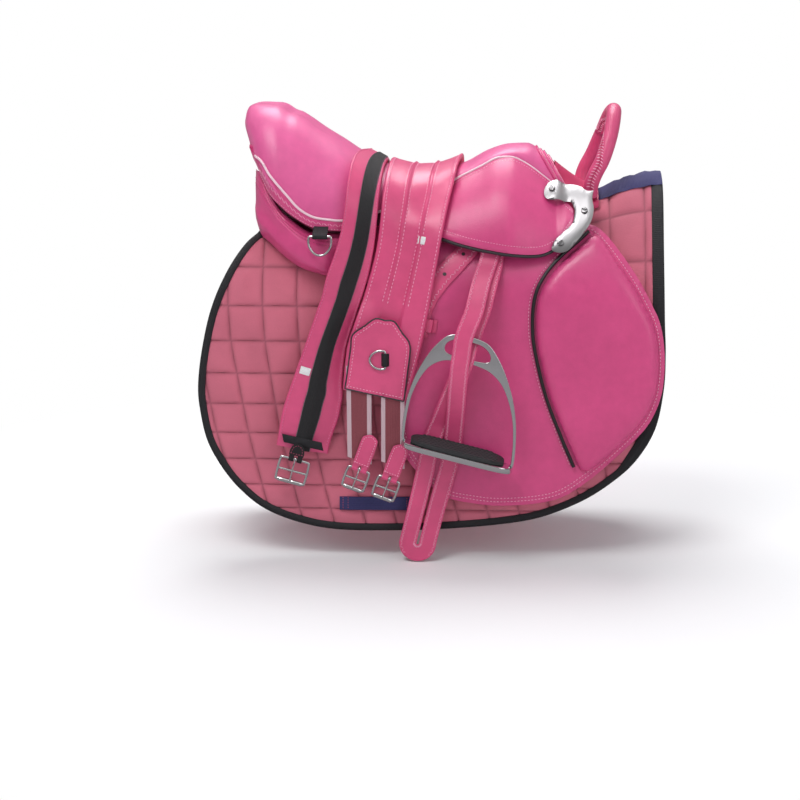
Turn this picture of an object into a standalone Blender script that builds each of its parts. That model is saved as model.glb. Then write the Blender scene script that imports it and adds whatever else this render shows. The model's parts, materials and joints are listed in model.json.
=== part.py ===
"""Pony riding saddle on a quilted pad, with two girths laid over the seat and stirrups run up.

All sizes below are in millimetres and MM turns them into metres. +X is forward, +Z is up, and the
side seen first is -Y. Most layers are laid out flat on a back surface: x runs along the spine,
s runs down the side from the spine, and h is the height above the underside of the pad.
"""

import math

import bmesh
import bpy
import numpy as np
from mathutils import Matrix, Vector
from mathutils.bvhtree import BVHTree

MM = 0.001

# Back surface under the pad
SPINE_RADIUS = 90.0
SIDE_TILT_DEG = 2.5
WITHER_RISE = 50.0
WITHER_START = 100.0
WITHER_END = 275.0

# Layers, as heights above the back surface
GAP = 0.35
PAD_T = 8.6
PAD_PUFF = 1.9
CELL = 42.0
BINDING_W = 9.0
BAND_HALF = 30.0
BAND_T = 1.6
PANEL_H = 11.8
TREE_H = 24.0
TREE_T = 13.5
SEAT_CLEAR_H = 30.4
FLAP_H = 20.0
FLAP_T = 3.2
SKIRT_T = 3.0
PLATE_T = 2.4

# Girths
FRONT_T = 5.6
RIDGE_T = 1.6
REAR_T = 4.4
ELASTIC_T = 1.6
WEB_T = 1.8
PATCH_T = 2.2
TAB_T = 1.3

# Stirrups
BAR_R = 3.2
BAR_S = 56.0
BAR_H = 50.0
BAR_X = 75.0
LEATHER_W = 21.0
LEATHER_T = 3.0
LEATHER_CLEAR = 0.9
TREAD_DEPTH = 41.0
FOOT_CLEAR = 4.5
IRON_T = 4.8
IRON_TOP_H = 54.0
IRON_TOP_S = 166.0
IRON_FOOT_S = 305.0

# Rings and buckles
RING_WIRE = 1.4
RING_R = 13.4
BUCKLE_WIRE = 1.3

SIDES = ((-1, "right"), (1, "left"))


# Curves and the back surface
def ease(t):
    t = min(max(t, 0.0), 1.0)
    return t * t * (3 - 2 * t)


def mix(a, b, t):
    return a + (b - a) * t


def track(*points):
    """Smooth curve through (x, value) points that never overshoots them."""
    xs = [p[0] for p in points]
    ys = [p[1] for p in points]
    n = len(xs)
    d = [(ys[i + 1] - ys[i]) / (xs[i + 1] - xs[i]) for i in range(n - 1)]
    m = [d[0]] + [0.0] * (n - 2) + [d[-1]]
    for i in range(1, n - 1):
        if d[i - 1] * d[i] > 0:
            m[i] = 2 * d[i - 1] * d[i] / (d[i - 1] + d[i])

    def value(x):
        if x <= xs[0]:
            return ys[0]
        if x >= xs[-1]:
            return ys[-1]
        i = max(k for k in range(n - 1) if xs[k] <= x)
        w = xs[i + 1] - xs[i]
        t = (x - xs[i]) / w
        a, b = t * t * (3 - 2 * t), t * t * (t - 1)
        return ys[i] * (1 - a) + ys[i + 1] * a + w * (m[i] * (b - t * t + t) + m[i + 1] * b)

    return value


TILT = math.radians(SIDE_TILT_DEG)
TURN = math.pi / 2 - TILT
ARC_S = SPINE_RADIUS * TURN


def rise(x, s):
    lift = WITHER_RISE * ease((x - WITHER_START) / (WITHER_END - WITHER_START))
    return lift * ease(1 - abs(s) / ARC_S)


def skin(x, s, h):
    """Point at height h over the back surface; s is measured down the side, + to the left."""
    a = abs(s)
    turn = min(a / SPINE_RADIUS, TURN)
    y = (SPINE_RADIUS + h) * math.sin(turn)
    z = (SPINE_RADIUS + h) * math.cos(turn) - SPINE_RADIUS
    if a > ARC_S:
        y += (a - ARC_S) * math.sin(TILT)
        z -= (a - ARC_S) * math.cos(TILT)
    return Vector((x, math.copysign(y, s), z + rise(x, s)))


def arc_z(x, y, h):
    r = SPINE_RADIUS + h
    y = min(abs(y), r * 0.999)
    s = SPINE_RADIUS * math.asin(y / r)
    return math.sqrt(r * r - y * y) - SPINE_RADIUS + rise(x, s)


def to_polar(y, z):
    return SPINE_RADIUS * math.atan2(abs(y), z + SPINE_RADIUS), math.hypot(y, z + SPINE_RADIUS) - SPINE_RADIUS


def spline(points, step, closed=False, sharp=()):
    """Evenly drawn curve through flat points, with corners kept at the sharp ones."""
    pts = [np.array(p, float) for p in points]
    n = len(pts)
    out = []
    for i in range(n if closed else n - 1):
        a, b = pts[i], pts[(i + 1) % n]
        before = pts[i - 1] if (closed or i > 0) and i not in sharp else a
        j = (i + 1) % n
        after = pts[(i + 2) % n] if (closed or i + 2 < n) and j not in sharp else b
        ta, tb = (b - before) / 2, (after - a) / 2
        k = max(1, int(round(np.linalg.norm(b - a) / step)))
        for q in range(k):
            t = q / k
            h1, h2 = 2 * t**3 - 3 * t**2 + 1, -2 * t**3 + 3 * t**2
            h3, h4 = t**3 - 2 * t**2 + t, t**3 - t**2
            out.append(a * h1 + b * h2 + ta * h3 + tb * h4)
    if not closed:
        out.append(pts[-1])
    return out


def inset(outline, d):
    """Outline moved inward by d; the outline may run either way round."""
    n = len(outline)
    area = sum(
        outline[i][0] * outline[(i + 1) % n][1] - outline[(i + 1) % n][0] * outline[i][1] for i in range(n)
    )
    sign = 1 if area > 0 else -1
    out = []
    for i in range(n):
        t = np.array(outline[(i + 1) % n]) - np.array(outline[i - 1])
        t = t / np.linalg.norm(t)
        out.append(np.array(outline[i]) + sign * d * np.array((-t[1], t[0])))
    return out


# Objects and materials
def clear_scene():
    for obj in list(bpy.data.objects):
        bpy.data.objects.remove(obj, do_unlink=True)


def material(name, color, rough, metal=0.0):
    mat = bpy.data.materials.new(name)
    mat.use_nodes = True
    node = mat.node_tree.nodes["Principled BSDF"]
    node.inputs["Base Color"].default_value = (*color, 1.0)
    node.inputs["Roughness"].default_value = rough
    node.inputs["Metallic"].default_value = metal
    mat.diffuse_color = (*color, 1.0)
    return mat


PINK = (0.78, 0.10, 0.30)
DEEP_PINK = (0.60, 0.05, 0.19)
DUSTY = (0.62, 0.17, 0.27)
BLACK = (0.015, 0.015, 0.018)
NAVY = (0.03, 0.03, 0.12)
STEEL = (0.72, 0.72, 0.72)
WHITE = (0.85, 0.78, 0.80)
BROWN = (0.25, 0.06, 0.07)


def put(name, bm, color, rough, metal=0.0, angle=35.0):
    bmesh.ops.remove_doubles(bm, verts=bm.verts, dist=1e-7)
    bmesh.ops.recalc_face_normals(bm, faces=bm.faces)
    mesh = bpy.data.meshes.new(name)
    bm.to_mesh(mesh)
    bm.free()
    mesh.materials.append(material(name + "_finish", color, rough, metal))
    mesh.polygons.foreach_set("use_smooth", [True] * len(mesh.polygons))
    mesh.set_sharp_from_angle(angle=math.radians(angle))
    obj = bpy.data.objects.new(name, mesh)
    bpy.context.scene.collection.objects.link(obj)
    return obj


def set_origin(obj, point):
    """Moves the object's origin to a point in millimetres, without moving its shape."""
    p = Vector(point) * MM
    obj.data.transform(Matrix.Translation(-p))
    obj.location = p
    return obj


# Shape builders
def sheet(outline, low, high, cuts_x=(), cuts_s=(), side=1, rings=()):
    """Flat outline in (x, s), given thickness between the heights low(x, s) and high(x, s)."""
    bm = bmesh.new()
    face = bm.faces.new([bm.verts.new((p[0], p[1], 0)) for p in outline])
    for d in rings:
        biggest = max(bm.faces, key=lambda f: f.calc_area())
        bmesh.ops.inset_region(bm, faces=[biggest], thickness=d, use_even_offset=True)
    cut(bm, 0, cuts_x)
    cut(bm, 1, cuts_s)
    made = bmesh.ops.extrude_face_region(bm, geom=bm.faces[:])
    upper = {v for v in made["geom"] if isinstance(v, bmesh.types.BMVert)}
    for v in bm.verts:
        x, s = v.co.x, v.co.y
        h = high(x, s) if v in upper else low(x, s)
        v.co = skin(x, side * s, h) * MM
    return bm


def flat(h):
    return lambda x, s: h


def edge_distance(outline):
    pts = np.array([tuple(p) for p in outline])
    nxt = np.roll(pts, -1, axis=0)
    seg = nxt - pts
    length = (seg**2).sum(axis=1)

    def distance(x, s):
        p = np.array((x, s))
        t = np.clip(((p - pts) * seg).sum(axis=1) / length, 0, 1)
        return float(np.sqrt(((pts + seg * t[:, None] - p) ** 2).sum(axis=1).min()))

    return distance


def loft(loops, closed=False):
    """Skin over loops of points (millimetres); the ends are capped unless closed."""
    bm = bmesh.new()
    rows = [[bm.verts.new(Vector(p) * MM) for p in loop] for loop in loops]
    n = len(rows[0])
    for k in range(len(rows) if closed else len(rows) - 1):
        a, b = rows[k], rows[(k + 1) % len(rows)]
        for i in range(n):
            j = (i + 1) % n
            bm.faces.new((a[i], a[j], b[j], b[i]))
    if not closed:
        bm.faces.new(rows[0])
        bm.faces.new(rows[-1])
    return bm


def slab(under, over):
    """Closed body between two grids of points of the same size."""
    bm = bmesh.new()
    rows, cols = len(under), len(under[0])
    grids = [[[bm.verts.new(Vector(p) * MM) for p in row] for row in g] for g in (under, over)]
    for g in grids:
        for i in range(rows - 1):
            for j in range(cols - 1):
                bm.faces.new((g[i][j], g[i + 1][j], g[i + 1][j + 1], g[i][j + 1]))
    rim = [(i, 0) for i in range(rows)] + [(rows - 1, j) for j in range(1, cols)]
    rim += [(i, cols - 1) for i in range(rows - 2, -1, -1)] + [(0, j) for j in range(cols - 2, 0, -1)]
    for k in range(len(rim)):
        (a, b), (c, d) = rim[k], rim[(k + 1) % len(rim)]
        bm.faces.new((grids[0][a][b], grids[0][c][d], grids[1][c][d], grids[1][a][b]))
    return bm


def frames(path, closed):
    pts = [Vector(p) for p in path]
    n = len(pts)
    tang = []
    for i in range(n):
        a = pts[i - 1] if (i > 0 or closed) else pts[i]
        b = pts[(i + 1) % n] if (i + 1 < n or closed) else pts[i]
        tang.append((b - a).normalized())
    ref = Vector((0, 0, 1)) if abs(tang[0].z) < 0.8 else Vector((1, 0, 0))
    normal = (ref - tang[0] * ref.dot(tang[0])).normalized()
    out = []
    for i in range(n):
        normal = (normal - tang[i] * normal.dot(tang[i])).normalized()
        out.append((pts[i], normal.copy(), tang[i].cross(normal)))
    return out


def tube(path, radius, sides=8, closed=False):
    """Round bar along a path; the radius may be a number or one number for each point."""
    fr = frames(path, closed)
    radii = radius if isinstance(radius, (list, tuple)) else [radius] * len(fr)
    loops = []
    for (p, u, v), r in zip(fr, radii):
        angles = [2 * math.pi * k / sides for k in range(sides)]
        loops.append([p + u * (r * math.cos(a)) + v * (r * math.sin(a)) for a in angles])
    return loft(loops, closed)


def prism(section, origin, u, v, w, width):
    """Flat section (a, b) in the axes u, v at origin, pushed both ways along w to the width."""
    o, u, v, w = Vector(origin), Vector(u), Vector(v), Vector(w)
    ends = [[o + u * a + v * b + w * (k * width / 2) for a, b in section] for k in (-1, 1)]
    return loft(ends)


def ribbon_section(path, t):
    """Outline of a strip of thickness t that follows a flat open path."""
    pts = [np.array(p, float) for p in path]
    left, right = [], []
    for i, p in enumerate(pts):
        a, b = pts[max(i - 1, 0)], pts[min(i + 1, len(pts) - 1)]
        d = (b - a) / np.linalg.norm(b - a)
        n = np.array((-d[1], d[0])) * t / 2
        left.append(p + n)
        right.append(p - n)
    return left + right[::-1]


def turned(profile, origin, axis, sides=12):
    """Solid turned about an axis from (radius, distance along the axis) points."""
    o, a = Vector(origin), Vector(axis).normalized()
    ref = Vector((1, 0, 0)) if abs(a.x) < 0.8 else Vector((0, 0, 1))
    u = (ref - a * ref.dot(a)).normalized()
    v = a.cross(u)
    loops = []
    for r, d in profile:
        angles = [2 * math.pi * k / sides for k in range(sides)]
        loops.append([o + a * d + (u * math.cos(q) + v * math.sin(q)) * r for q in angles])
    return loft(loops)


# The saddle pad
PAD_SIDE = [
    (-184, 0), (-193, 40), (-213, 68), (-234, 105), (-251, 144), (-262, 191), (-267, 232), (-265, 262),
    (-257, 298), (-240, 330), (-219, 356), (-190, 379), (-149, 395), (-101, 403), (-30, 403), (28, 400),
    (87, 394), (134, 385), (180, 366), (214, 344), (243, 317), (265, 279), (274, 232), (275, 190),
    (273, 151), (271, 86), (272, 27), (272, 0),
]


def pad_outline():
    left = PAD_SIDE
    right = [(x, -s) for x, s in PAD_SIDE[::-1]][1:-1]
    return spline(left + right, 31.0, closed=True)


def cut(bm, axis, places):
    for c in places:
        co, no = [0, 0, 0], [0, 0, 0]
        co[axis], no[axis] = c, 1
        geom = bm.verts[:] + bm.edges[:] + bm.faces[:]
        bmesh.ops.bisect_plane(bm, geom=geom, dist=1e-4, plane_co=co, plane_no=no)


def build_pad():
    outline = pad_outline()
    bm = bmesh.new()
    bm.faces.new([bm.verts.new((p[0], p[1], 0)) for p in inset(outline, BINDING_W)])
    cut(bm, 0, [CELL * k for k in range(-6, 7)])
    cut(bm, 1, [CELL * k for k in range(-10, 11)] + [CELL * (k + 0.5) for k in (-3, -2, -1, 0, 1, 2)])
    made = bmesh.ops.extrude_face_region(bm, geom=bm.faces[:])
    upper = {v for v in made["geom"] if isinstance(v, bmesh.types.BMVert)}
    cells = [
        f for f in made["geom"]
        if isinstance(f, bmesh.types.BMFace) and f.calc_area() > 0.45 * CELL**2
        and (abs(f.calc_center_median().y) > CELL * 3 or not -205 < f.calc_center_median().x < 168)
        and abs(f.calc_center_median().y) > CELL * 0.75
    ]
    crowns = set(bmesh.ops.poke(bm, faces=cells)["verts"])
    for v in bm.verts:
        x, s = v.co.x, v.co.y
        h = PAD_T + PAD_PUFF if v in crowns else PAD_T if v in upper else 0.0
        v.co = skin(x, s, h) * MM
    put("saddle_pad", bm, DUSTY, 0.85)

    inner = BINDING_W - 1.0
    section = ((inner, -0.6), (0.8, -0.7), (0, 4.8), (1.4, 10.2), (inner, 10.0))
    rings = [inset(outline, d) for d, _ in section]
    loops = []
    for i in range(len(outline)):
        loops.append([skin(rings[k][i][0], rings[k][i][1], section[k][1]) for k in range(len(section))])
    put("pad_binding", loft(loops, closed=True), BLACK, 0.8)

    band = [(-173, -BAND_HALF), (262, -BAND_HALF), (262, BAND_HALF), (-173, BAND_HALF)]
    low = PAD_T + 1.0
    cuts = [CELL * k for k in range(-4, 7)]
    bm = sheet(band, flat(low), flat(low + BAND_T), cuts, (-21, 0, 21))
    put("pad_spine_band", bm, NAVY, 0.7)

    for side, tag in SIDES:
        ends = (-118, -12)
        loop = [(ends[0], 362), (ends[1], 361), (ends[1], 377), (ends[0], 378)]
        top = PAD_T + PAD_PUFF - GAP

        def low_at(x, s):
            return top + 1.6 * ease((x - ends[0]) / 22) * ease((ends[1] - x) / 22)

        def high_at(x, s):
            return low_at(x, s) + WEB_T

        bm = sheet(loop, low_at, high_at, (-107, -96, -34, -23), (), side)
        put("pad_girth_loop_" + tag, bm, NAVY, 0.7)


# Seat, tree and panels
SEAT_REAR = -212.0
REAR_ROUND = 58.0
BASE_REAR = -200.0
half_width_track = track(
    (-212, 103), (-170, 105), (-110, 105), (-80, 98), (-40, 80), (0, 60), (22, 52), (46, 48), (70, 46.5),
    (95, 45), (120, 44), (146, 43),
)
rim_track = track(
    (-200, 84), (-195, 79), (-179, 52), (-156, 31), (-133, 17), (-93, 12), (-40, 26), (0, 42),
    (35, 63), (59, 75), (82, 86), (94, 87), (108, 82), (134, 64), (152, 49),
)
top_track = track(
    (-212, 118), (-207, 137), (-196, 144), (-180, 146), (-159, 143), (-146, 131), (-125, 115), (-104, 101),
    (-80, 84), (-58, 72), (-20, 62), (0, 62), (39, 70), (70, 86), (94, 93), (114, 94), (129, 87), (141, 78),
    (146, 72),
)
drop_track = track((-30, 0), (25, 6))
overhang_track = track((-212, 26), (-208, 15), (-203, 6), (-197, 1), (-190, 0))

STATIONS = (
    -211.6, -209.6, -205.5, -199, -190, -179, -167, -154, -132, -108, -84, -60, -38, -16, 6, 24, 42, 60, 78,
    96, 112, 126, 138, 146,
)
BASE_STATIONS = (-197.5, -195) + STATIONS[4:-1]
COLUMNS = (0, 0.4, 0.7, 0.9)


def half_width(x, rear=SEAT_REAR):
    """Half of the plan width, narrowing round the rear end."""
    t = (rear + REAR_ROUND - x) / REAR_ROUND
    return half_width_track(x) * (1 - min(max(t, 0), 1) ** 2.6) ** (1 / 2.6)


def base_width(x):
    """Half width of the tree and panels, which stop short of the overhanging cantle."""
    return half_width(x, BASE_REAR)


def column_z(x, y, below, h):
    """Underside of the seat or tree as drawn, with straight runs between the columns."""
    w = base_width(x)
    ys = [w * f for f in COLUMNS] + [w]
    zs = [under_z(x, v, below, h) for v in ys]
    return float(np.interp(y, ys, zs))


def under_z(x, y, below, h):
    return max(rim_track(x) - drop_track(x) - below, arc_z(x, y, h))


def build_seat():
    loops = []
    steps = 7
    for x in STATIONS:
        w, low, top = half_width(x), rim_track(x) - drop_track(x) + overhang_track(x), top_track(x)
        back = ease((-x - 60) / 100)
        half = [(w * f, max(low, under_z(x, w * f, 0, SEAT_CLEAR_H))) for f in COLUMNS]
        half += [(w - min(3, w * 0.2), low), (w, low + 1.5)]
        p, q = mix(2.3, 3.4, back), mix(2.0, 2.3, back)
        dish = 8.0 * back * ease((x - SEAT_REAR) / 30)
        for k in range(1, steps + 1):
            a = math.pi / 2 * k / steps
            y = w * math.cos(a) ** (2 / p)
            z = low + 1.5 + (top - low - 1.5) * math.sin(a) ** (2 / q)
            half.append((y, z - dish * math.exp(-((y / (0.45 * w)) ** 2))))
        loops.append([(x, y, z) for y, z in half] + [(x, -y, z) for y, z in half[-2:0:-1]])
    put("seat", loft(loops), PINK, 0.45, angle=50)


def rim_path(outward, down, front):
    """Path round the seat's lower edge, from the right front, round the rear, to the left front."""
    xs = [x for x in STATIONS[::-1] if BASE_REAR + 6 < x <= front] + [BASE_REAR + 4.5, BASE_REAR + 1.2]
    side = [(x, base_width(x)) for x in xs]
    full = [(x, -w) for x, w in side] + [(BASE_REAR, 0)] + [(x, w) for x, w in side[::-1]]
    out = []
    for i, p in enumerate(full):
        a, b = full[max(i - 1, 0)], full[min(i + 1, len(full) - 1)]
        t = Vector((b[0] - a[0], b[1] - a[1], 0)).normalized()
        n = Vector((t.y, -t.x, 0))
        if n.dot(Vector((p[0] + 60, p[1], 0))) < 0:
            n = -n
        tuck = 1.6 * ease((-166 - p[0]) / 12)
        out.append(Vector((p[0], p[1], rim_track(p[0]) - down - tuck)) + n * outward)
    return out


def build_rim():
    put("seat_piping", tube(rim_path(2.2, 1.0, 144), 1.6, 6), WHITE, 0.5)


def build_tree():
    loops = []
    for x in BASE_STATIONS:
        w = base_width(x)
        gap = 0.9 + 1.6 * ease((-160 - x) / 20)
        top = [(w * f, under_z(x, w * f, gap + 2.6, SEAT_CLEAR_H - gap - 2.6)) for f in COLUMNS]
        top.append((w - 2.5, rim_track(x) - drop_track(x) - gap))
        low = [(w * f, under_z(x, w * f, TREE_T, TREE_H)) for f in COLUMNS]
        low.append((w - 2.5, rim_track(x) - drop_track(x) - TREE_T))
        half = low + top[::-1]
        loops.append([(x, y, z) for y, z in half] + [(x, -y, z) for y, z in half[-2:0:-1]])
    put("tree", loft(loops), DEEP_PINK, 0.5)


panel_s = track(
    (-200, 50), (-192, 71), (-185, 79), (-170, 93), (-150, 101), (-128, 107), (-113, 110),
    (-60, 112), (60, 104), (138, 78),
)
panel_bulge = track((-200, 40), (-192, 44), (-145, 45), (-120, 38), (-95, 26), (-70, 19.3), (140, 19.3))
panel_cap = track((30, 60), (72, 19.5), (140, 19.0))


def build_panels():
    inner = 32.0
    for side, tag in SIDES:
        loops = []
        for x in BASE_STATIONS:
            w, sb, bulge = base_width(x), panel_s(x), panel_bulge(x)
            back = ease((-x - 62) / 40)
            shoulder = max(w * 0.9, inner + 7)
            top = []
            for y in (shoulder, max(w * 0.7, inner + 3.5), inner + 1.5):
                slack = (1.6 if y == shoulder else 3.2) + 3.2 * ease((-105 - x) / 25)
                z = column_z(x, y, TREE_T, TREE_H) - slack - 1.5 * ease((-170 - x) / 15)
                top.append(Vector((x, y, min(z, arc_z(x, y, panel_cap(x))) if x > 30 else z)))
            pts = [skin(x, s, PANEL_H) for s in (inner, mix(inner, sb, 0.5), sb)]
            pts.append(skin(x, sb + 3, mix(PANEL_H, bulge, 0.3)))
            pts.append(skin(x, sb + 2, mix(PANEL_H, bulge, 0.75)))
            pts.append(skin(x, sb - 7, bulge))
            mid = (pts[-1] + top[0]) / 2 + Vector((0, 5, 2)) * back
            s_mid, h_mid = to_polar(mid.y, mid.z - rise(x, 60))
            pts.append(skin(x, mix(62, s_mid, back), mix(19.3, h_mid, back)))
            shrink = {0: 0.80, 1: 0.95}.get(len(loops), 1.0)
            pts += top
            centre = sum(pts, Vector()) / len(pts)
            pts = [centre + (p - centre) * shrink for p in pts]
            loops.append([(p.x, side * p.y, p.z) for p in pts])
        put("panel_" + tag, loft(loops), PINK, 0.5, angle=60)


# Pommel
def build_pommel():
    outline = [(146.8, -44), (197, -44), (197, 44), (146.8, 44)]
    crest = track((146, 66), (160, 50), (172, 37), (184, 26), (197, 19))
    flank = track((146, 40), (160, 36), (172, 29), (184, 21.5), (197, 18))

    def high(x, s):
        return mix(flank(x), crest(x), 1 - ease((abs(s) - 6) / 18))

    low = flat(PAD_T + BAND_T + 3.2)
    bm = sheet(outline, low, high, (154, 162, 170, 178, 187), (-24, -18, -12, -6, 0, 6, 12, 18, 24))
    put("pommel_head", bm, DEEP_PINK, 0.5)

    half = [
        (186.6, 41.8, 36.9), (188, 45.5, 50), (192, 47, 62), (200, 46, 78), (206, 41, 95),
        (210.5, 32, 111), (213.5, 18, 126),
    ]
    near = [(x, -y, z) for x, y, z in half]
    far = [(x - 7 * y / 47, y, z) for x, y, z in half[::-1]]
    put("grab_handle", tube(near + [(214.5, 0, 132.5)] + far, 9.0, 9), PINK, 0.5)


PLATE = [
    (133, 44), (137, 38), (144, 36), (155, 38), (166, 41), (175, 45), (182, 50), (189, 51), (187.5, 57),
    (189, 65), (186, 73), (178, 80), (169, 86), (161, 91), (151, 92.5), (142, 90), (144, 84), (154, 78),
    (165, 72), (167.5, 64), (164, 56), (155, 54), (140, 53), (134, 50),
]
PLATE_SCREWS = ((142, 44.5), (178.5, 65), (151.5, 85.5))
PLATE_HOLE_R = 2.1


def plate_low(x, s):
    return 59.5 - 0.28 * (s - 15) + 6.6 * ease((159 - x) / 12) * ease((62 - s) / 10)


def build_plates():
    for side, tag in SIDES:
        outline = spline(PLATE, 8.0, closed=True, sharp=(7,))

        def high(x, s):
            return plate_low(x, s) + PLATE_T

        bm = sheet(outline, plate_low, high, (148, 154, 163, 178), (50, 62, 74), side)
        plate = put("pommel_plate_" + tag, bm, STEEL, 0.25, 1.0)
        for k, (x, s) in enumerate(PLATE_SCREWS, 1):
            low, top = skin(x, side * s, plate_low(x, s)), skin(x, side * s, high(x, s))
            axis = (skin(x + 4, side * s, high(x + 4, s)) - skin(x - 4, side * s, high(x - 4, s))).cross(
                skin(x, side * (s + 4), high(x, s + 4)) - skin(x, side * (s - 4), high(x, s - 4))
            ).normalized()
            axis = axis if axis.dot(top - low) > 0 else -axis
            bm = turned([(PLATE_HOLE_R, -7), (PLATE_HOLE_R, 5)], top, axis, 8)
            cutter = put("plate_cutter_%s_%d" % (tag, k), bm, STEEL, 0.5)
            cut_with(plate, cutter, "DIFFERENCE")
            profile = [(1.6, 0.4 - PLATE_T), (1.6, 0.6), (3.6, 0.6), (3.7, 1.1), (3.0, 1.9), (1.4, 2.3)]
            put("plate_screw_%s_%d" % (tag, k), turned(profile, top, axis, 8), STEEL, 0.3, 1.0)


def cut_with(obj, tool, operation):
    """Boolean with a helper shape that stays out of the picture."""
    tool.hide_render = True
    tool.display_type = "WIRE"
    mod = obj.modifiers.new(operation.lower(), "BOOLEAN")
    mod.operation, mod.object, mod.solver = operation, tool, "EXACT"
    mod.use_self = operation == "UNION"


# Skirts, flaps and knee pads
skirt_foot_s = track(
    (-44, 62), (-14, 70), (14, 78), (40, 85), (69, 90), (99, 93), (127, 92), (146, 87), (153, 83), (160, 77),
    (165, 72), (167, 67.5),
)
skirt_foot_h = track((-44, 40), (-20, 43), (90, 45), (127, 38), (146, 37), (153, 38.5), (167, 43.5))
skirt_front_s = track((146, 28.8), (152, 35), (156, 50), (163, 57), (167, 61.5))
skirt_front_h = track((146, 47.8), (152, 48.5), (156, 47.5), (163, 46), (167, 45.2))


def build_skirts():
    xs = [x for x in STATIONS if -44 < x < 146] + [146, 150, 154, 158, 163, 166.5]
    rows = 8
    for side, tag in SIDES:
        under, over = [], []
        for x in xs:
            if x < 146:
                s0, h0 = to_polar(half_width(x) + 1.0, rim_track(x) - 5.0 - rise(x, 26))
            else:
                s0, h0 = skirt_front_s(x), skirt_front_h(x)
            s1, h1 = skirt_foot_s(x), skirt_foot_h(x)
            bulge = 2.2 * ease((168 - x) / 20)
            lower, upper = [], []
            for k in range(rows):
                t = k / (rows - 1)
                s, h = mix(s0, s1, t), mix(h0, h1, t) + bulge * math.sin(math.pi * t)
                lower.append(skin(x, side * s, h - SKIRT_T))
                upper.append(skin(x, side * s, h))
            under.append(lower)
            over.append(upper)
        put("skirt_" + tag, slab(under, over), PINK, 0.45)


FLAP = [
    (-38, 66), (-42, 110), (-43, 170), (-39, 240), (-33, 282), (-26, 306), (-10, 329), (20, 357), (52, 365),
    (87, 368), (133, 364), (162, 355), (192, 334), (224, 305), (250, 278), (263, 256), (271, 228), (272, 188),
    (265, 150), (247, 120), (219, 91), (196, 70), (178, 62),
]
KNEE_REAR = [
    (184, 73), (174, 79), (152, 92), (135, 107), (124, 125), (121, 150), (124, 184), (137, 236), (155, 283), (171, 320),
]
KNEE_PAD = [
    (191, 77), (178, 83.5), (156, 96.5), (139.5, 110.5), (128.8, 127.5), (126, 150.5), (129, 184), (142, 235),
    (160, 281), (177, 319), (187, 324), (218, 298), (242, 272), (255, 251), (263, 226), (264, 189), (257, 154),
    (240, 126), (213, 98), (200, 83),
]
KNEE_PUFF = 8.5
CUT_X = (30, 100, 130, 150, 170, 187, 204, 221, 240)
CUT_S = (80, 95, 110, 125, 140)


def flap_top(x, s):
    return FLAP_H + FLAP_T


def build_flaps():
    for side, tag in SIDES:
        outline = spline(FLAP, 18.0, closed=True, sharp=(0, 22))
        bm = sheet(outline, flat(FLAP_H), flap_top, CUT_X, CUT_S, side)
        put("flap_" + tag, bm, PINK, 0.45)

        ring = spline(KNEE_PAD, 16.0, closed=True, sharp=(0, 9))
        dist = edge_distance(ring)

        def crown(x, s):
            d = min(dist(x, s) / 16.0, 1.0)
            return FLAP_H + FLAP_T + 2.0 + KNEE_PUFF * math.sqrt(max(0.0, 1 - (1 - d) ** 2))

        cuts = CUT_S + (165, 190, 215, 240, 265, 290, 310)
        bm = sheet(ring, flat(FLAP_H + FLAP_T + 0.6), crown, CUT_X[3:], cuts, side, rings=(5.0,))
        put("knee_pad_" + tag, bm, PINK, 0.45, angle=60)

        path = [skin(p[0], side * p[1], FLAP_H + FLAP_T + 2.8) for p in spline(KNEE_REAR, 14)]
        put("knee_piping_" + tag, tube(path, 2.1, 6), BLACK, 0.5)


# Stirrup leathers and irons
def build_bar(side, tag):
    root = (102, side * (half_width(102) + 1.8), rim_track(102) - drop_track(102) - TREE_T + 4)
    path = [
        root, skin(103, side * 34, 66), skin(103, side * 45, 57), skin(100, side * 53, BAR_H + 1),
        skin(95, side * BAR_S, BAR_H), skin(54, side * BAR_S, BAR_H),
    ]
    put("stirrup_bar_" + tag, tube(path, BAR_R, 8), STEEL, 0.3, 1.0)


# Middle of each strand as (s, x, h), from the bar over the iron's eye down to the flap. The outer
# strand passes before the eye, the inner one through it.
REST_H = FLAP_H + FLAP_T + LEATHER_CLEAR + LEATHER_T / 2
OUTER = [
    (64, 75, BAR_H + 2.6), (72, 75, BAR_H - 4.0), (94, 71, REST_H + 5.8), (115, 63, IRON_TOP_H - 13.0),
    (138, 55, IRON_TOP_H - 0.5), (157, 47, IRON_TOP_H + 5.5), (170, 43, IRON_TOP_H + 6.8),
    (186, 41, IRON_TOP_H + 7.9), (200, 39, IRON_TOP_H + 8.1), (212, 38, IRON_TOP_H + 6.4),
    (230, 36.5, IRON_TOP_H - 0.5), (252, 35, IRON_TOP_H - 11.5), (270, 33.5, REST_H + 7.2),
    (282, 32.5, REST_H + 3.0), (293, 31.5, REST_H + 0.6), (304, 30.5, REST_H), (330, 24.5, REST_H),
    (372, 13, REST_H), (413, 3, REST_H),
]
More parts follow.
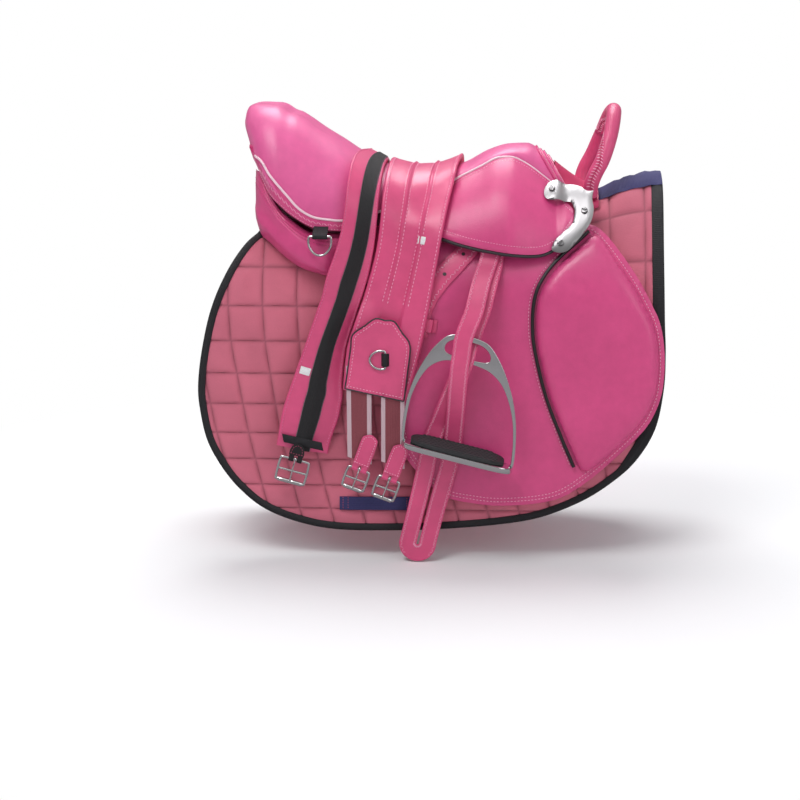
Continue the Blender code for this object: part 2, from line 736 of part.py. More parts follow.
INNER = [
    (72, 76, BAR_H - 12.0), (94, 77, REST_H + 1.8), (115, 71, IRON_TOP_H - 18.2),
    (138, 63, IRON_TOP_H - 8.4), (156, 56, IRON_TOP_H - 5.1), (166, 53, IRON_TOP_H - 4.8),
    (172.5, 50.5, IRON_TOP_H - 4.8), (177, 49, IRON_TOP_H - 2.8), (185.5, 47, IRON_TOP_H + 3.2),
    (191, 45.5, IRON_TOP_H + 4.1), (201, 42, IRON_TOP_H + 3.9), (212, 38, IRON_TOP_H + 1.2),
    (230, 31, IRON_TOP_H - 6.0), (252, 22.5, IRON_TOP_H - 17.0), (270, 15.5, REST_H + 2.0),
    (279, 12, REST_H + 0.2), (293, 7, REST_H), (304, 4, REST_H), (330, -1, REST_H),
    (372, -10.5, REST_H), (413, -20.5, REST_H),
]


def strap_loop(side):
    """Closed strap swept through stations that carry their own width direction."""
    w, t = LEATHER_W / 2, LEATHER_T / 2
    up = BAR_R + 0.5 + t
    r = (OUTER[-1][1] - INNER[-1][1]) / 2
    x_turn = (OUTER[-1][1] + INNER[-1][1]) / 2
    s_end, h_end = OUTER[-1][0], OUTER[-1][2]
    line = []
    for q in (-60, -30, 0, 30, 60, 90):
        a = math.radians(q)
        line.append((BAR_X, BAR_S - up * math.cos(a), BAR_H + up * math.sin(a), 1, 0, w))
    for s, x, h in spline(OUTER, 22):
        line.append((x, s, h, 1, 0, mix(w, w - 0.5, ease((s - 330) / 60))))
    for q in range(30, 180, 30):
        a = math.radians(q)
        line.append((x_turn + r * math.cos(a), s_end + r * math.sin(a), h_end, math.cos(a), math.sin(a), w - 0.5))
    for s, x, h in spline(INNER, 22)[::-1]:
        line.append((x, s, h, -1, 0, mix(w, w - 0.5, ease((s - 330) / 60))))
    n = len(line)
    loops = []
    for i in range(n):
        x, s, h, wx, ws, hw = line[i]
        a, b = line[i - 1], line[(i + 1) % n]
        tangent = Vector((b[0] - a[0], b[1] - a[1], b[2] - a[2])).normalized()
        width = Vector((wx, ws, 0))
        width = (width - tangent * width.dot(tangent)).normalized()
        normal = width.cross(tangent)
        c = Vector((x, s, h))
        loops.append([c + width * (hw * p) + normal * (t * q) for p, q in ((-1, -1), (1, -1), (1, 1), (-1, 1))])
    return loft([[skin(p.x, side * p.y, p.z) for p in loop] for loop in loops], closed=True)


TAIL = [(68, 60), (84, 46), (97, 32), (111, 16), (126, 3), (144, -5), (170, -9)]
TAIL_W = 21.0
TAIL_HOLES = ((41.5, 88), (20.5, 107), (4.5, 124))
KEEPER_X = -5.8
KEEPER_S = 156.0


def build_tail(side, tag):
    """Free end of the stirrup leather, with its holes, lying back under the girth into a keeper."""
    line = spline([(x, s) for s, x in TAIL], 12)
    top = FLAP_H + FLAP_T
    under, over = [], []
    for i, p in enumerate(line):
        a, b = line[max(i - 1, 0)], line[min(i + 1, len(line) - 1)]
        t = (b - a) / np.linalg.norm(b - a)
        n = np.array((-t[1], t[0])) * TAIL_W / 2
        rows = [p - n, p - n * 0.12, p + n * 0.12, p + n]
        under.append([skin(q[0], side * q[1], top + 0.9) for q in rows])
        over.append([skin(q[0], side * q[1], top + 3.4) for q in rows])
    tail = put("leather_tail_" + tag, slab(under, over), PINK, 0.5)
    for k, (x, s) in enumerate(TAIL_HOLES):
        low, high = skin(x, side * s, top - 1), skin(x, side * s, top + 6)
        bm = turned([(1.6, 0), (1.6, (high - low).length)], low, high - low, 8)
        cut_with(tail, put("hole_cutter_%s_%d" % (tag, k), bm, BLACK, 0.5), "DIFFERENCE")

    along = np.array((TAIL[6][1] - TAIL[5][1], TAIL[6][0] - TAIL[5][0]), float)
    along /= np.linalg.norm(along)
    across = np.array((-along[1], along[0]))
    arch = [(-18, 1.2), (-14.4, 1.2), (-12.9, 2.6), (-12.4, 4.6), (-11, 5.8), (11, 5.8), (12.4, 4.6), (12.9, 2.6),
            (14.4, 1.2), (18, 1.2)]
    ends = []
    for k in (-1, 1):
        loop = []
        for a, b in ribbon_section(arch, 1.4):
            q = np.array((KEEPER_X, KEEPER_S)) + across * a + along * (k * 7.5)
            loop.append(skin(q[0], side * q[1], top + b))
        ends.append(loop)
    put("flap_keeper_" + tag, loft(ends), PINK, 0.5)


IRON_TOP_X = 50.0
IRON_LEAN_X = 0.096
IRON_ROLL = 0.24
IRON_FOOT_H = FLAP_H + FLAP_T + TREAD_DEPTH / 2 + FOOT_CLEAR


def iron_point(side, s, lateral, lift):
    """Point in the iron's own plane: s down the iron, lateral along it and lift off the plane."""
    drop = s - IRON_TOP_S
    x = IRON_TOP_X - drop * IRON_LEAN_X + lateral * math.cos(IRON_ROLL)
    h = mix(IRON_TOP_H, IRON_FOOT_H, drop / (IRON_FOOT_S - IRON_TOP_S))
    return skin(x, side * (s + lateral * math.sin(IRON_ROLL)), h + lift)


def mirrored(half):
    """Closed outline from the points of its right half, listed from the top to the bottom."""
    return half + [(-a, s) for a, s in half[::-1] if a > 0]


def build_iron(side, tag):
    """Arched eye, two branches and the foot bar in one body, with the slot and foot opening cut."""
    outer = mirrored([
        (0, 165.5), (15, 166.5), (25, 170.5), (34, 180), (43, 193), (51.5, 210), (58, 227), (63.5, 250), (66, 275),
        (66, 297), (63, 305),
    ])
    opening = mirrored([
        (0, 198), (15, 199), (28.5, 203.5), (41, 214), (51, 230), (58.5, 251), (62, 275), (62.5, 297), (61, 301.2),
    ])
    slot = mirrored([(0, 171.5), (15, 172.5), (24, 178), (26.5, 185), (22, 190), (0, 191.2)])
    rings = [spline(outer, 12, True, sharp=(10, 11)), spline(opening, 12, True, sharp=(8, 9)), spline(slot, 9, True)]
    bm = bmesh.new()
    edges = []
    for ring in rings:
        vs = [bm.verts.new((p[0], p[1], 0)) for p in ring]
        edges += [bm.edges.new((vs[i], vs[(i + 1) % len(vs)])) for i in range(len(vs))]
    bmesh.ops.triangle_fill(bm, use_beauty=True, use_dissolve=False, edges=edges, normal=(0, 0, 1))
    made = bmesh.ops.extrude_face_region(bm, geom=bm.faces[:])
    upper = {v for v in made["geom"] if isinstance(v, bmesh.types.BMVert)}
    for v in bm.verts:
        lift = IRON_T / 2 if v in upper else -IRON_T / 2
        v.co = iron_point(side, v.co.y, v.co.x, lift) * MM
    iron = put("stirrup_iron_" + tag, bm, STEEL, 0.12, 1.0)

    foot = []
    for k in range(20):
        a = 2 * math.pi * k / 20
        ca, sa = math.cos(a), math.sin(a)
        foot.append((59 * math.copysign(abs(ca) ** 0.55, ca), TREAD_DEPTH / 2 * math.copysign(abs(sa) ** 0.75, sa)))
    loops = [[iron_point(side, s, a, b) for a, b in foot] for s in (301.0, 308.0)]
    plate = put("foot_part_" + tag, loft(loops), STEEL, 0.12, 1.0)
    cut_with(iron, plate, "UNION")

    rib = []
    for s_near, s_far, k in ((300.6, 300.6, 0.93), (297.6, 292.2, 0.93), (296.6, 291.0, 0.88)):
        row = []
        for a, b in foot:
            t = (b / (TREAD_DEPTH / 2) + 1) / 2
            row.append(iron_point(side, mix(s_far, s_near, t), a * k, b * k))
        rib.append(row)
    tread = put("stirrup_tread_" + tag, loft(rib), BLACK, 0.8)
    return iron, tread, plate


def build_stirrups():
    for side, tag in SIDES:
        build_bar(side, tag)
        pivot = skin(BAR_X, side * BAR_S, BAR_H)
        leather = put("stirrup_leather_" + tag, strap_loop(side), PINK, 0.5)
        build_tail(side, tag)
        for obj in (leather,) + build_iron(side, tag):
            set_origin(obj, pivot)


# Rear rings
def d_ring(centre, across, down, wire, r, sides=6):
    """Closed D of round wire: the straight bar lies at the centre and the bow hangs below it."""
    c, u, v = Vector(centre), Vector(across), Vector(down)
    path = [c + u * (r * 0.85), c, c - u * (r * 0.85)]
    for k in range(11):
        a = math.pi - math.pi * k / 10
        bow = 0.96 if k in (0, 10) else 1.0
        path.append(c + u * (r * math.cos(a) * bow) + v * (r * 0.25 + r * 1.35 * math.sin(a)))
    return tube(path, wire, sides, closed=True)


def build_rear_rings():
    x, z = -120.5, -3.0
    for side, tag in SIDES:
        anchor = Vector((x, side * 121.5, z))
        strap = [(-17.9, 11.6), (-13, 8.2), (-8, 5.6), (-3.2, 3.6), (0, 2.4), (2.0, 1.4), (2.4, -0.3), (1.5, -1.9),
                 (-0.3, -2.4), (-2.0, -1.4), (-2.5, 0.3)]
        section = ribbon_section(strap, TAB_T)
        bm = prism(section, anchor, (0, side, 0), (0, 0, 1), (1, 0, 0), 17.0)
        put("rear_ring_tab_" + tag, bm, BLACK, 0.7)
        ring = put("rear_ring_" + tag, d_ring(anchor, (1, 0, 0), (0, 0, -1), RING_WIRE, RING_R), STEEL, 0.2, 1.0)
        set_origin(ring, anchor)


# Girths
FRONT_LEFT = track((-75, -48), (-20, -46), (-9, -46), (40, -49), (76, -55), (110, -66), (126, -72), (151, -81),
                   (180, -90), (215, -94), (245, -96))
FRONT_RIGHT = track((-75, 40), (-20, 39), (-9, 38), (30, 32), (65, 22), (97, 13), (140, 3), (185, -6), (217, -15),
                    (245, -24))
REAR_LEFT = track((-75, -80), (-40, -76), (-9, -72), (30, -85), (69, -94), (108, -109), (175, -133), (293, -173),
                  (310, -177))
REAR_RIGHT = track((-75, -53), (-9, -50), (30, -52), (69, -57), (97, -64), (110, -68.5), (126, -75), (151, -84.5),
                   (180, -94), (215, -100), (243, -107), (310, -115))
UNDER_GIRTHS = (
    "seat", "seat_piping", "skirt", "flap", "panel", "saddle_pad", "pad_binding", "leather_tail", "flap_keeper",
)


def outer_surface():
    trees = []
    for obj in bpy.data.objects:
        if obj.name.startswith(UNDER_GIRTHS):
            verts = [v.co.copy() for v in obj.data.vertices]
            trees.append(BVHTree.FromPolygons(verts, [tuple(p.vertices) for p in obj.data.polygons]))

    def height(x, s):
        """Outermost height over the back surface at (x, s), for points on the right side."""
        top, foot = skin(x, -s, 260), skin(x, -s, 0)
        d = (foot - top).normalized()
        best = 0.0
        for tree in trees:
            hit = tree.ray_cast(top * MM, d, 0.3)
            if hit[0] is not None:
                best = max(best, 260 - (hit[0] / MM - top).length)
        return best

    return height


def taut(points):
    """Upper hull of (y, z) points, sampled back at each point along its own line to the spine."""
    hull = []
    for i, p in enumerate(points):
        while len(hull) >= 2:
            (y1, z1), (y2, z2) = points[hull[-2]], points[hull[-1]]
            if (y2 - y1) * (p[1] - z1) - (z2 - z1) * (p[0] - y1) > 0:
                hull.pop()
            else:
                break
        hull.append(i)
    out = []
    for i, p in enumerate(points):
        k = max(j for j in range(len(hull)) if hull[j] <= i)
        if hull[k] == i:
            out.append(p)
            continue
        a, b = points[hull[k]], points[hull[k + 1]]
        c = (0.0, -SPINE_RADIUS)
        d = (p[0] - c[0], p[1] - c[1])
        e = (b[0] - a[0], b[1] - a[1])
        det = e[0] * d[1] - d[0] * e[1]
        u = ((a[0] - c[0]) * -e[1] + e[0] * (a[1] - c[1])) / det
        out.append((c[0] + d[0] * u, c[1] + d[1] * u))
    return out


def drape(height, left, right, s_from, s_to, columns, rows, clear):
    """Under-surface of a strap laid over the saddle: taut over hollows, then hanging in one plane."""
    grid = []
    for t in columns:
        column, flat_points = [], []
        for i in range(rows + 1):
            s = mix(s_from, s_to(t), i / rows)
            x = mix(left(s), right(s), t)
            near = max(height(x + dx, s + ds) for dx in (-10, -5, 0, 5, 10) for ds in (-6, 0, 6))
            p = skin(x, -s, near + clear)
            column.append((x, s))
            flat_points.append((-p.y, p.z))
        peak = max(range(rows + 1), key=lambda i: flat_points[i][0])
        shape = taut(flat_points[: peak + 1]) + flat_points[peak + 1:]
        grid.append([column, shape, peak])
    plane = max(shape[peak][0] for _, shape, peak in grid)
    out = []
    for column, shape, peak in grid:
        start = shape[peak][1]
        row = []
        for i, ((x, s), (y, z)) in enumerate(zip(column, shape)):
            if i > peak:
                y = mix(shape[peak][0], plane, ease((start - z) / 45))
            row.append(Vector((x, -y, z)))
        out.append(row)
    return settle(out), plane


def settle(grid):
    """Lowers a draped strap until it all but touches what lies under it."""
    under = [o for o in bpy.data.objects if o.name.startswith(UNDER_GIRTHS)]
    trees = [
        BVHTree.FromPolygons([v.co.copy() for v in o.data.vertices], [tuple(p.vertices) for p in o.data.polygons])
        for o in under
    ]
    gap = 40.0
    for row, after in zip(grid, grid[1:]):
        for i in range(len(row) - 1):
            quad = (row[i], row[i + 1], after[i], after[i + 1])
            for k in range(9):
                a, b = (k % 3) / 2, (k // 3) / 2
                p = quad[0].lerp(quad[1], a).lerp(quad[2].lerp(quad[3], a), b)
                for tree in trees:
                    hit = tree.ray_cast(p * MM, Vector((0, 0, -1)), 0.04)
                    if hit[0] is not None:
                        gap = min(gap, p.z - hit[0].z / MM)
    drop = Vector((0, 0, gap - 2 * GAP))
    return [[p - drop for p in row] for row in grid]


def thicken(grid, thickness):
    """Outer side of a draped strap: each point moved off its own column by thickness(j, i)."""
    over = []
    for j, column in enumerate(grid):
        line = []
        for i, p in enumerate(column):
            d = (column[min(i + 1, len(column) - 1)] - column[max(i - 1, 0)])
            n = Vector((0, d.z, -d.y)).normalized()
            line.append(p + n * thickness(j, i))
        over.append(line)
    return over


def buckle_frame(centre, axis, down, width, length, wire):
    """Rounded rectangle of wire; its top bar is centred on the point given."""
    c, u, v = Vector(centre), Vector(axis), Vector(down)
    w, r = width / 2, 3.0
    path = [
        (w - r, 0), (0, 0), (r - w, 0), (-w, r), (-w, length - r), (r - w, length), (w - r, length),
        (w, length - r), (w, r),
    ]
    return tube([c + u * a + v * b for a, b in path], wire, 6, closed=True)


def tongue(centre, down, out, length, wire):
    """Hook round the bar with a prong that reaches the far side of the frame."""
    c, v, n = Vector(centre), Vector(down), Vector(out)
    r = wire + 0.4 + 1.0
    path = []
    for q in (-150, -100, -50, 0, 50, 100, 150):
        a = math.radians(q)
        path.append(c - v * (r * math.cos(a)) + n * (r * math.sin(a)))
    path += [c + v * (length * 0.35) + n * 2.7, c + v * (length - 0.5) + n * 2.9]
    return tube(path, 1.0, 6)


def chape(centre, axis, down, out, width, wire, length):
    """Two narrow turns round the bar under one wider tab."""
    r = wire + 0.5 + TAB_T / 2
    path = [(8 - length, 1.2), (-r * 2.0, 1.4)]
    path += [(-r * math.cos(a), r * math.sin(a)) for a in (0.9, 1.6, 2.4, 3.14, 3.9, 4.7, 5.4)]
    section = ribbon_section(path, TAB_T)
    parts = []
    for k in (-1, 1):
        off = Vector(axis) * (k * (width / 4 + 0.9))
        parts.append(prism(section, Vector(centre) + off, down, out, axis, width / 2 - 2.4))
    tab = [(-length, 0.3), (-r * 1.7, 0.3), (-r * 1.7, 0.3 + 1.9), (-length, 0.3 + 1.9)]
    parts.append(prism(tab, centre, down, out, axis, width))
    return parts


def join_parts(obj, parts, tag):
    for k, bm in enumerate(parts):
        cut_with(obj, put("join_%s_%d" % (tag, k), bm, PINK, 0.5), "UNION")


def tilted(angle):
    a = math.radians(angle)
    return Vector((math.cos(a), 0, -math.sin(a))), Vector((-math.sin(a), 0, -math.cos(a)))


PATCH = [(-92, -176), (-88, -150), (-85, -128), (-83, -114), (-70, -104), (-57, -95), (-46, -97), (-36, -98),
         (-27, -111), (-18, -126), (-21, -158), (-25, -190)]
PATCH_RING = (-54, -142)
FRONT_BUCKLES = ((-76.5, -272, 20), (-41.5, -283, 20))
REAR_BUCKLE = (-151, -262, 15)


def build_front_girth(height):
    cols = (0.0, 0.06, 0.30, 0.345, 0.39, 0.61, 0.655, 0.70, 0.94, 1.0)
    edge = {0: 0.5, 9: 0.6}
    rows = 30
    grid, plane = drape(height, FRONT_LEFT, FRONT_RIGHT, -75, lambda t: mix(229, 243, t), cols, rows, 1.5)

    def thickness(j, i):
        s = mix(-75, mix(229, 243, cols[j]), i / rows)
        ridge = RIDGE_T * ease((168 - s) / 20) if j in (3, 6) else 0.0
        return FRONT_T * edge.get(j, 1.0) + ridge

    put("front_girth", slab(grid, thicken(grid, thickness)), PINK, 0.45, angle=50)
    return plane


def build_front_fittings(plane):
    out = Vector((0, -1, 0))
    face = plane + FRONT_T + 0.3
    web = [(-91, -150), (-24, -150), (-24, -271), (-51, -262), (-51, -176), (-62, -176), (-62, -266), (-90, -257)]
    base = Vector((0, -(face + ELASTIC_T / 2), 0))
    elastic = put("front_elastics", prism(web, base, (1, 0, 0), (0, 0, 1), (0, 1, 0), ELASTIC_T), BROWN, 0.8)
    bar_y = face + 1.0
    for k, (x, z, turn) in enumerate(FRONT_BUCKLES):
        axis, down = tilted(turn)
        centre = Vector((x, -bar_y, z))
        join_parts(elastic, chape(centre, axis, down, out, 15.5, BUCKLE_WIRE, 40), "front%d" % k)
        for name, bm in (
            ("front_buckle_%d" % (k + 1), buckle_frame(centre, axis, down, 26, 24, BUCKLE_WIRE)),
            ("front_tongue_%d" % (k + 1), tongue(centre, down, out, 24, BUCKLE_WIRE)),
        ):
            set_origin(put(name, bm, STEEL, 0.2, 1.0), centre)

    lift = face + ELASTIC_T + 0.3
    base = Vector((0, -(lift + PATCH_T / 2), 0))
    patch = put("front_patch", prism(PATCH, base, (1, 0, 0), (0, 0, 1), (0, 1, 0), PATCH_T), PINK, 0.5, angle=20)
    x, z = PATCH_RING
    y = lift + PATCH_T + 0.5 + RING_WIRE
    loop = [
        (-3.9, -2.0), (-3.1, -1.0), (-2.6, 0.2), (-1.6, 2.0), (0, 2.6), (1.6, 2.0), (2.6, 0.2),
        (4, -1.7), (9, -1.9),
    ]
    ring_x = x + 8.0
    strap = prism(ribbon_section(loop, TAB_T), (ring_x, -y, z), (1, 0, 0), (0, -1, 0), (0, 0, 1), 15.0)
    join_parts(patch, [strap], "patch")
    centre = Vector((ring_x, -y, z))
    ring = put("patch_ring", d_ring(centre, (0, 0, 1), (-1, 0, 0), RING_WIRE, 11.0), STEEL, 0.2, 1.0)
    set_origin(ring, centre)


def build_rear_girth(height):
    cols = (0.0, 0.08, 0.5, 0.92, 1.0)
    rows = 32
    grid, plane = drape(height, REAR_LEFT, REAR_RIGHT, -75, lambda t: mix(292, 305, t), cols, rows, 2.8)

    def thickness(j, i):
        return REAR_T * (0.6 if j in (0, 4) else 1.0)

    over = thicken(grid, thickness)
    put("rear_girth", slab(grid, over), PINK, 0.45, angle=50)

    left = track((0, 0.25), (6, 0.45), (12, 0.46), (17, 0.37), (22, 0.42), (27, 0.46), (30, 0.33), (32, 0.30))
    right = track((0, 0.80), (6, 0.90), (12, 0.90), (17, 0.88), (27, 0.86), (30, 0.66), (32, 0.62))
    lower, upper = [], []
    for i in range(1, rows + 1):
        a, b, c = over[1][i], over[2][i], over[3][i]
        tl, tr = left(i), right(i)
        line = [a.lerp(b, (tl - 0.08) / 0.42), b, b.lerp(c, (tr - 0.5) / 0.42)]
        d = over[2][min(i + 1, rows)] - over[2][i - 1]
        n = Vector((0, d.z, -d.y)).normalized()
        lower.append([p + n * 0.6 for p in line])
        upper.append([p + n * (0.6 + ELASTIC_T) for p in line])
    band = put("rear_elastic", slab(lower, upper), BLACK, 0.8)
    x, z, turn = REAR_BUCKLE
    axis, down = tilted(turn)
    face = plane + REAR_T + 0.6
    bar = [(-166, -231), (-120, -241), (-118, -251), (-164, -241)]
    base = (0, -(face + ELASTIC_T / 2 + 0.1), 0)
    centre = Vector((x, -(face + 1.0), z))
    out = Vector((0, -1, 0))
    parts = [prism(bar, base, (1, 0, 0), (0, 0, 1), (0, 1, 0), ELASTIC_T + 0.2)]
    join_parts(band, parts + chape(centre, axis, down, out, 17, BUCKLE_WIRE, 26), "rear")
    for name, bm in (
        ("rear_buckle", buckle_frame(centre, axis, down, 34, 27, BUCKLE_WIRE)),
        ("rear_tongue", tongue(centre, down, out, 27, BUCKLE_WIRE)),
    ):
        set_origin(put(name, bm, STEEL, 0.2, 1.0), centre)


def build_far_buckles():
    """Plain frames that lie on the seat against the far ends of the girths."""
    slope = Vector((0, 0.80, -0.60))
    for name, x, girth in (
        ("far_buckle_1", -26, "front_girth"), ("far_buckle_2", 18, "front_girth"), ("far_buckle_3", -76, "rear_girth"),
    ):
        mesh = bpy.data.objects[girth].data
        verts = [v.co / MM for v in mesh.vertices]
        strap = BVHTree.FromPolygons(verts, [tuple(p.vertices) for p in mesh.polygons])
        end = max(v.y for v in verts if abs(v.x - x) < 16)
        edge = [v for v in verts if v.y > end - 12 and abs(v.x - x) < 20]
        start = Vector((x, end + 6, sum(v.z for v in edge) / len(edge)))
        for _ in range(4):
            bar = [start + Vector((a, 0, 0)) for a in (-9, -6, -3, 0, 3, 6, 9)]
            start -= slope * (min(strap.find_nearest(p)[3] for p in bar) - BUCKLE_WIRE - GAP)
        put(name, buckle_frame(start, (1, 0, 0), slope, 26, 24, BUCKLE_WIRE), STEEL, 0.2, 1.0)


def build_girths():
    height = outer_surface()
    build_front_fittings(build_front_girth(height))
    build_rear_girth(height)
    build_far_buckles()


def main():
    clear_scene()
    build_pad()
    build_seat()
    build_rim()
    build_tree()
    build_panels()
    build_pommel()
    build_plates()
    build_skirts()
    build_flaps()
    build_stirrups()
    build_rear_rings()
    build_girths()


main()
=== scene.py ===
"""Looks of a pony riding saddle on a quilted pad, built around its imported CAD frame.

Sizes in the layout are in millimetres, laid out on the back surface: x runs along the spine, s down
the side, h is the height above the pad's underside. MM turns them into metres.
"""

import json
import math

import bmesh
import bpy
import numpy as np
from mathutils import Matrix, Vector
from mathutils.bvhtree import BVHTree


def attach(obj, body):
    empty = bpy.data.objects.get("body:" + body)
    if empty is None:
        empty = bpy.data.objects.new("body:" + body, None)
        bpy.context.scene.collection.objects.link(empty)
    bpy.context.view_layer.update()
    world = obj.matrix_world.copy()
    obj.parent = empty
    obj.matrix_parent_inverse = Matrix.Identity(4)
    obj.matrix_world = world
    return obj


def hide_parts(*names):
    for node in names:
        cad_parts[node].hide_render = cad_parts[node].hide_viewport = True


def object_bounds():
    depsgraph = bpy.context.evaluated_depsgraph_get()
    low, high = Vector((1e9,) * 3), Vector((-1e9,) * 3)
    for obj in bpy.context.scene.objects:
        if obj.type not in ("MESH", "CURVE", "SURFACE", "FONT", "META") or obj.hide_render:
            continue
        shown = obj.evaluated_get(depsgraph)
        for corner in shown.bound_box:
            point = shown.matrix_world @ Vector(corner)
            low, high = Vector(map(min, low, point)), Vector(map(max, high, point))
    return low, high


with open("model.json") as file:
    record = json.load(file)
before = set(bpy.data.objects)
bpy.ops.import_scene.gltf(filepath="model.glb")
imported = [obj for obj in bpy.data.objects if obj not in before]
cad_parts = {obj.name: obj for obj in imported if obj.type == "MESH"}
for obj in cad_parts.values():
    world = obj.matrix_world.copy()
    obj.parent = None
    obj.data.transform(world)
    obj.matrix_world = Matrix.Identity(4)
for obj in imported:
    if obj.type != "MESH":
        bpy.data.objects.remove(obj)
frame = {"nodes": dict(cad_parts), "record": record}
cad_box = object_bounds()


MM = 0.001

# Back surface under the pad
SPINE_RADIUS = 90.0
SIDE_TILT_DEG = 2.5
WITHER_RISE = 50.0
WITHER_START = 100.0
WITHER_END = 275.0

# Layers, as heights above the back surface
GAP = 0.35
PAD_T = 8.6
PAD_PUFF = 1.9
BINDING_W = 9.0
BAND_HALF = 30.0
BAND_T = 1.6
PANEL_H = 11.8
TREE_H = 24.0
TREE_T = 13.5
SEAT_CLEAR_H = 30.4
FLAP_H = 20.0
FLAP_T = 3.2
SKIRT_T = 3.0
PLATE_T = 2.4

# Girths
FRONT_T = 5.6
REAR_T = 4.4
ELASTIC_T = 1.6
WEB_T = 1.8
PATCH_T = 2.2
TAB_T = 1.3

# Stirrups
BAR_R = 3.2
BAR_S = 56.0
BAR_H = 50.0
BAR_X = 75.0
LEATHER_W = 21.0
LEATHER_T = 3.0
LEATHER_CLEAR = 0.9
TREAD_DEPTH = 41.0
FOOT_CLEAR = 4.5
IRON_T = 4.8
IRON_TOP_H = 54.0
IRON_TOP_S = 166.0
IRON_FOOT_S = 305.0

# Rings and buckles
RING_WIRE = 1.4
RING_R = 13.4
BUCKLE_WIRE = 1.3

SIDES = ((-1, "right"), (1, "left"))


# Curves and the back surface
def ease(t):
    t = min(max(t, 0.0), 1.0)
    return t * t * (3 - 2 * t)


def mix(a, b, t):
    return a + (b - a) * t


def track(*points):
    """Smooth curve through (x, value) points that never overshoots them."""
    xs = [p[0] for p in points]
    ys = [p[1] for p in points]
    n = len(xs)
    d = [(ys[i + 1] - ys[i]) / (xs[i + 1] - xs[i]) for i in range(n - 1)]
    m = [d[0]] + [0.0] * (n - 2) + [d[-1]]
    for i in range(1, n - 1):
        if d[i - 1] * d[i] > 0:
            m[i] = 2 * d[i - 1] * d[i] / (d[i - 1] + d[i])

    def value(x):
        if x <= xs[0]:
            return ys[0]
        if x >= xs[-1]:
            return ys[-1]
        i = max(k for k in range(n - 1) if xs[k] <= x)
        w = xs[i + 1] - xs[i]
        t = (x - xs[i]) / w
        a, b = t * t * (3 - 2 * t), t * t * (t - 1)
        return ys[i] * (1 - a) + ys[i + 1] * a + w * (m[i] * (b - t * t + t) + m[i + 1] * b)

    return value


TILT = math.radians(SIDE_TILT_DEG)
TURN = math.pi / 2 - TILT
ARC_S = SPINE_RADIUS * TURN


def rise(x, s):
    lift = WITHER_RISE * ease((x - WITHER_START) / (WITHER_END - WITHER_START))
    return lift * ease(1 - abs(s) / ARC_S)


def skin(x, s, h):
    """Point at height h over the back surface; s is measured down the side, + to the left."""
    a = abs(s)
    turn = min(a / SPINE_RADIUS, TURN)
    y = (SPINE_RADIUS + h) * math.sin(turn)
    z = (SPINE_RADIUS + h) * math.cos(turn) - SPINE_RADIUS
    if a > ARC_S:
        y += (a - ARC_S) * math.sin(TILT)
        z -= (a - ARC_S) * math.cos(TILT)
    return Vector((x, math.copysign(y, s), z + rise(x, s)))


def arc_z(x, y, h):
    r = SPINE_RADIUS + h
    y = min(abs(y), r * 0.999)
    s = SPINE_RADIUS * math.asin(y / r)
    return math.sqrt(r * r - y * y) - SPINE_RADIUS + rise(x, s)


def to_polar(y, z):
    return SPINE_RADIUS * math.atan2(abs(y), z + SPINE_RADIUS), math.hypot(y, z + SPINE_RADIUS) - SPINE_RADIUS


def hermite(a, b, leave, arrive, t):
    """Point at share t of the cubic from a to b with the given tangents."""
    return (a * (2 * t**3 - 3 * t**2 + 1) + b * (3 * t**2 - 2 * t**3)
            + leave * (t**3 - 2 * t**2 + t) + arrive * (t**3 - t**2))


def spline(points, step, closed=False, sharp=()):
    """Evenly drawn curve through flat points, with corners kept at the sharp ones."""
    pts = [np.array(p, float) for p in points]
    n = len(pts)
    out = []
    for i in range(n if closed else n - 1):
        a, b = pts[i], pts[(i + 1) % n]
        before = pts[i - 1] if (closed or i > 0) and i not in sharp else a
        j = (i + 1) % n
        after = pts[(i + 2) % n] if (closed or i + 2 < n) and j not in sharp else b
        ta, tb = (b - before) / 2, (after - a) / 2
        k = max(1, int(round(np.linalg.norm(b - a) / step)))
        for q in range(k):
            out.append(hermite(a, b, ta, tb, q / k))
    if not closed:
        out.append(pts[-1])
    return out


def inset(outline, d):
    """Outline moved inward by d; the outline may run either way round."""
    n = len(outline)
    area = sum(
        outline[i][0] * outline[(i + 1) % n][1] - outline[(i + 1) % n][0] * outline[i][1] for i in range(n)
    )
    sign = 1 if area > 0 else -1
    out = []
    for i in range(n):
        t = np.array(outline[(i + 1) % n]) - np.array(outline[i - 1])
        t = t / np.linalg.norm(t)
        out.append(np.array(outline[i]) + sign * d * np.array((-t[1], t[0])))
    return out


def flat(h):
    return lambda x, s: h


def frames(path, closed):
    pts = [Vector(p) for p in path]
    n = len(pts)
    tang = []
    for i in range(n):
        a = pts[i - 1] if (i > 0 or closed) else pts[i]
        b = pts[(i + 1) % n] if (i + 1 < n or closed) else pts[i]
        tang.append((b - a).normalized())
    ref = Vector((0, 0, 1)) if abs(tang[0].z) < 0.8 else Vector((1, 0, 0))
    normal = (ref - tang[0] * ref.dot(tang[0])).normalized()
    out = []
    for i in range(n):
        normal = (normal - tang[i] * normal.dot(tang[i])).normalized()
        out.append((pts[i], normal.copy(), tang[i].cross(normal)))
    return out


def ribbon_section(path, t):
    """Outline of a strip of thickness t that follows a flat open path."""
    pts = [np.array(p, float) for p in path]
    left, right = [], []
    for i, p in enumerate(pts):
        a, b = pts[max(i - 1, 0)], pts[min(i + 1, len(pts) - 1)]
        d = (b - a) / np.linalg.norm(b - a)
        n = np.array((-d[1], d[0])) * t / 2
        left.append(p + n)
        right.append(p - n)
    return left + right[::-1]


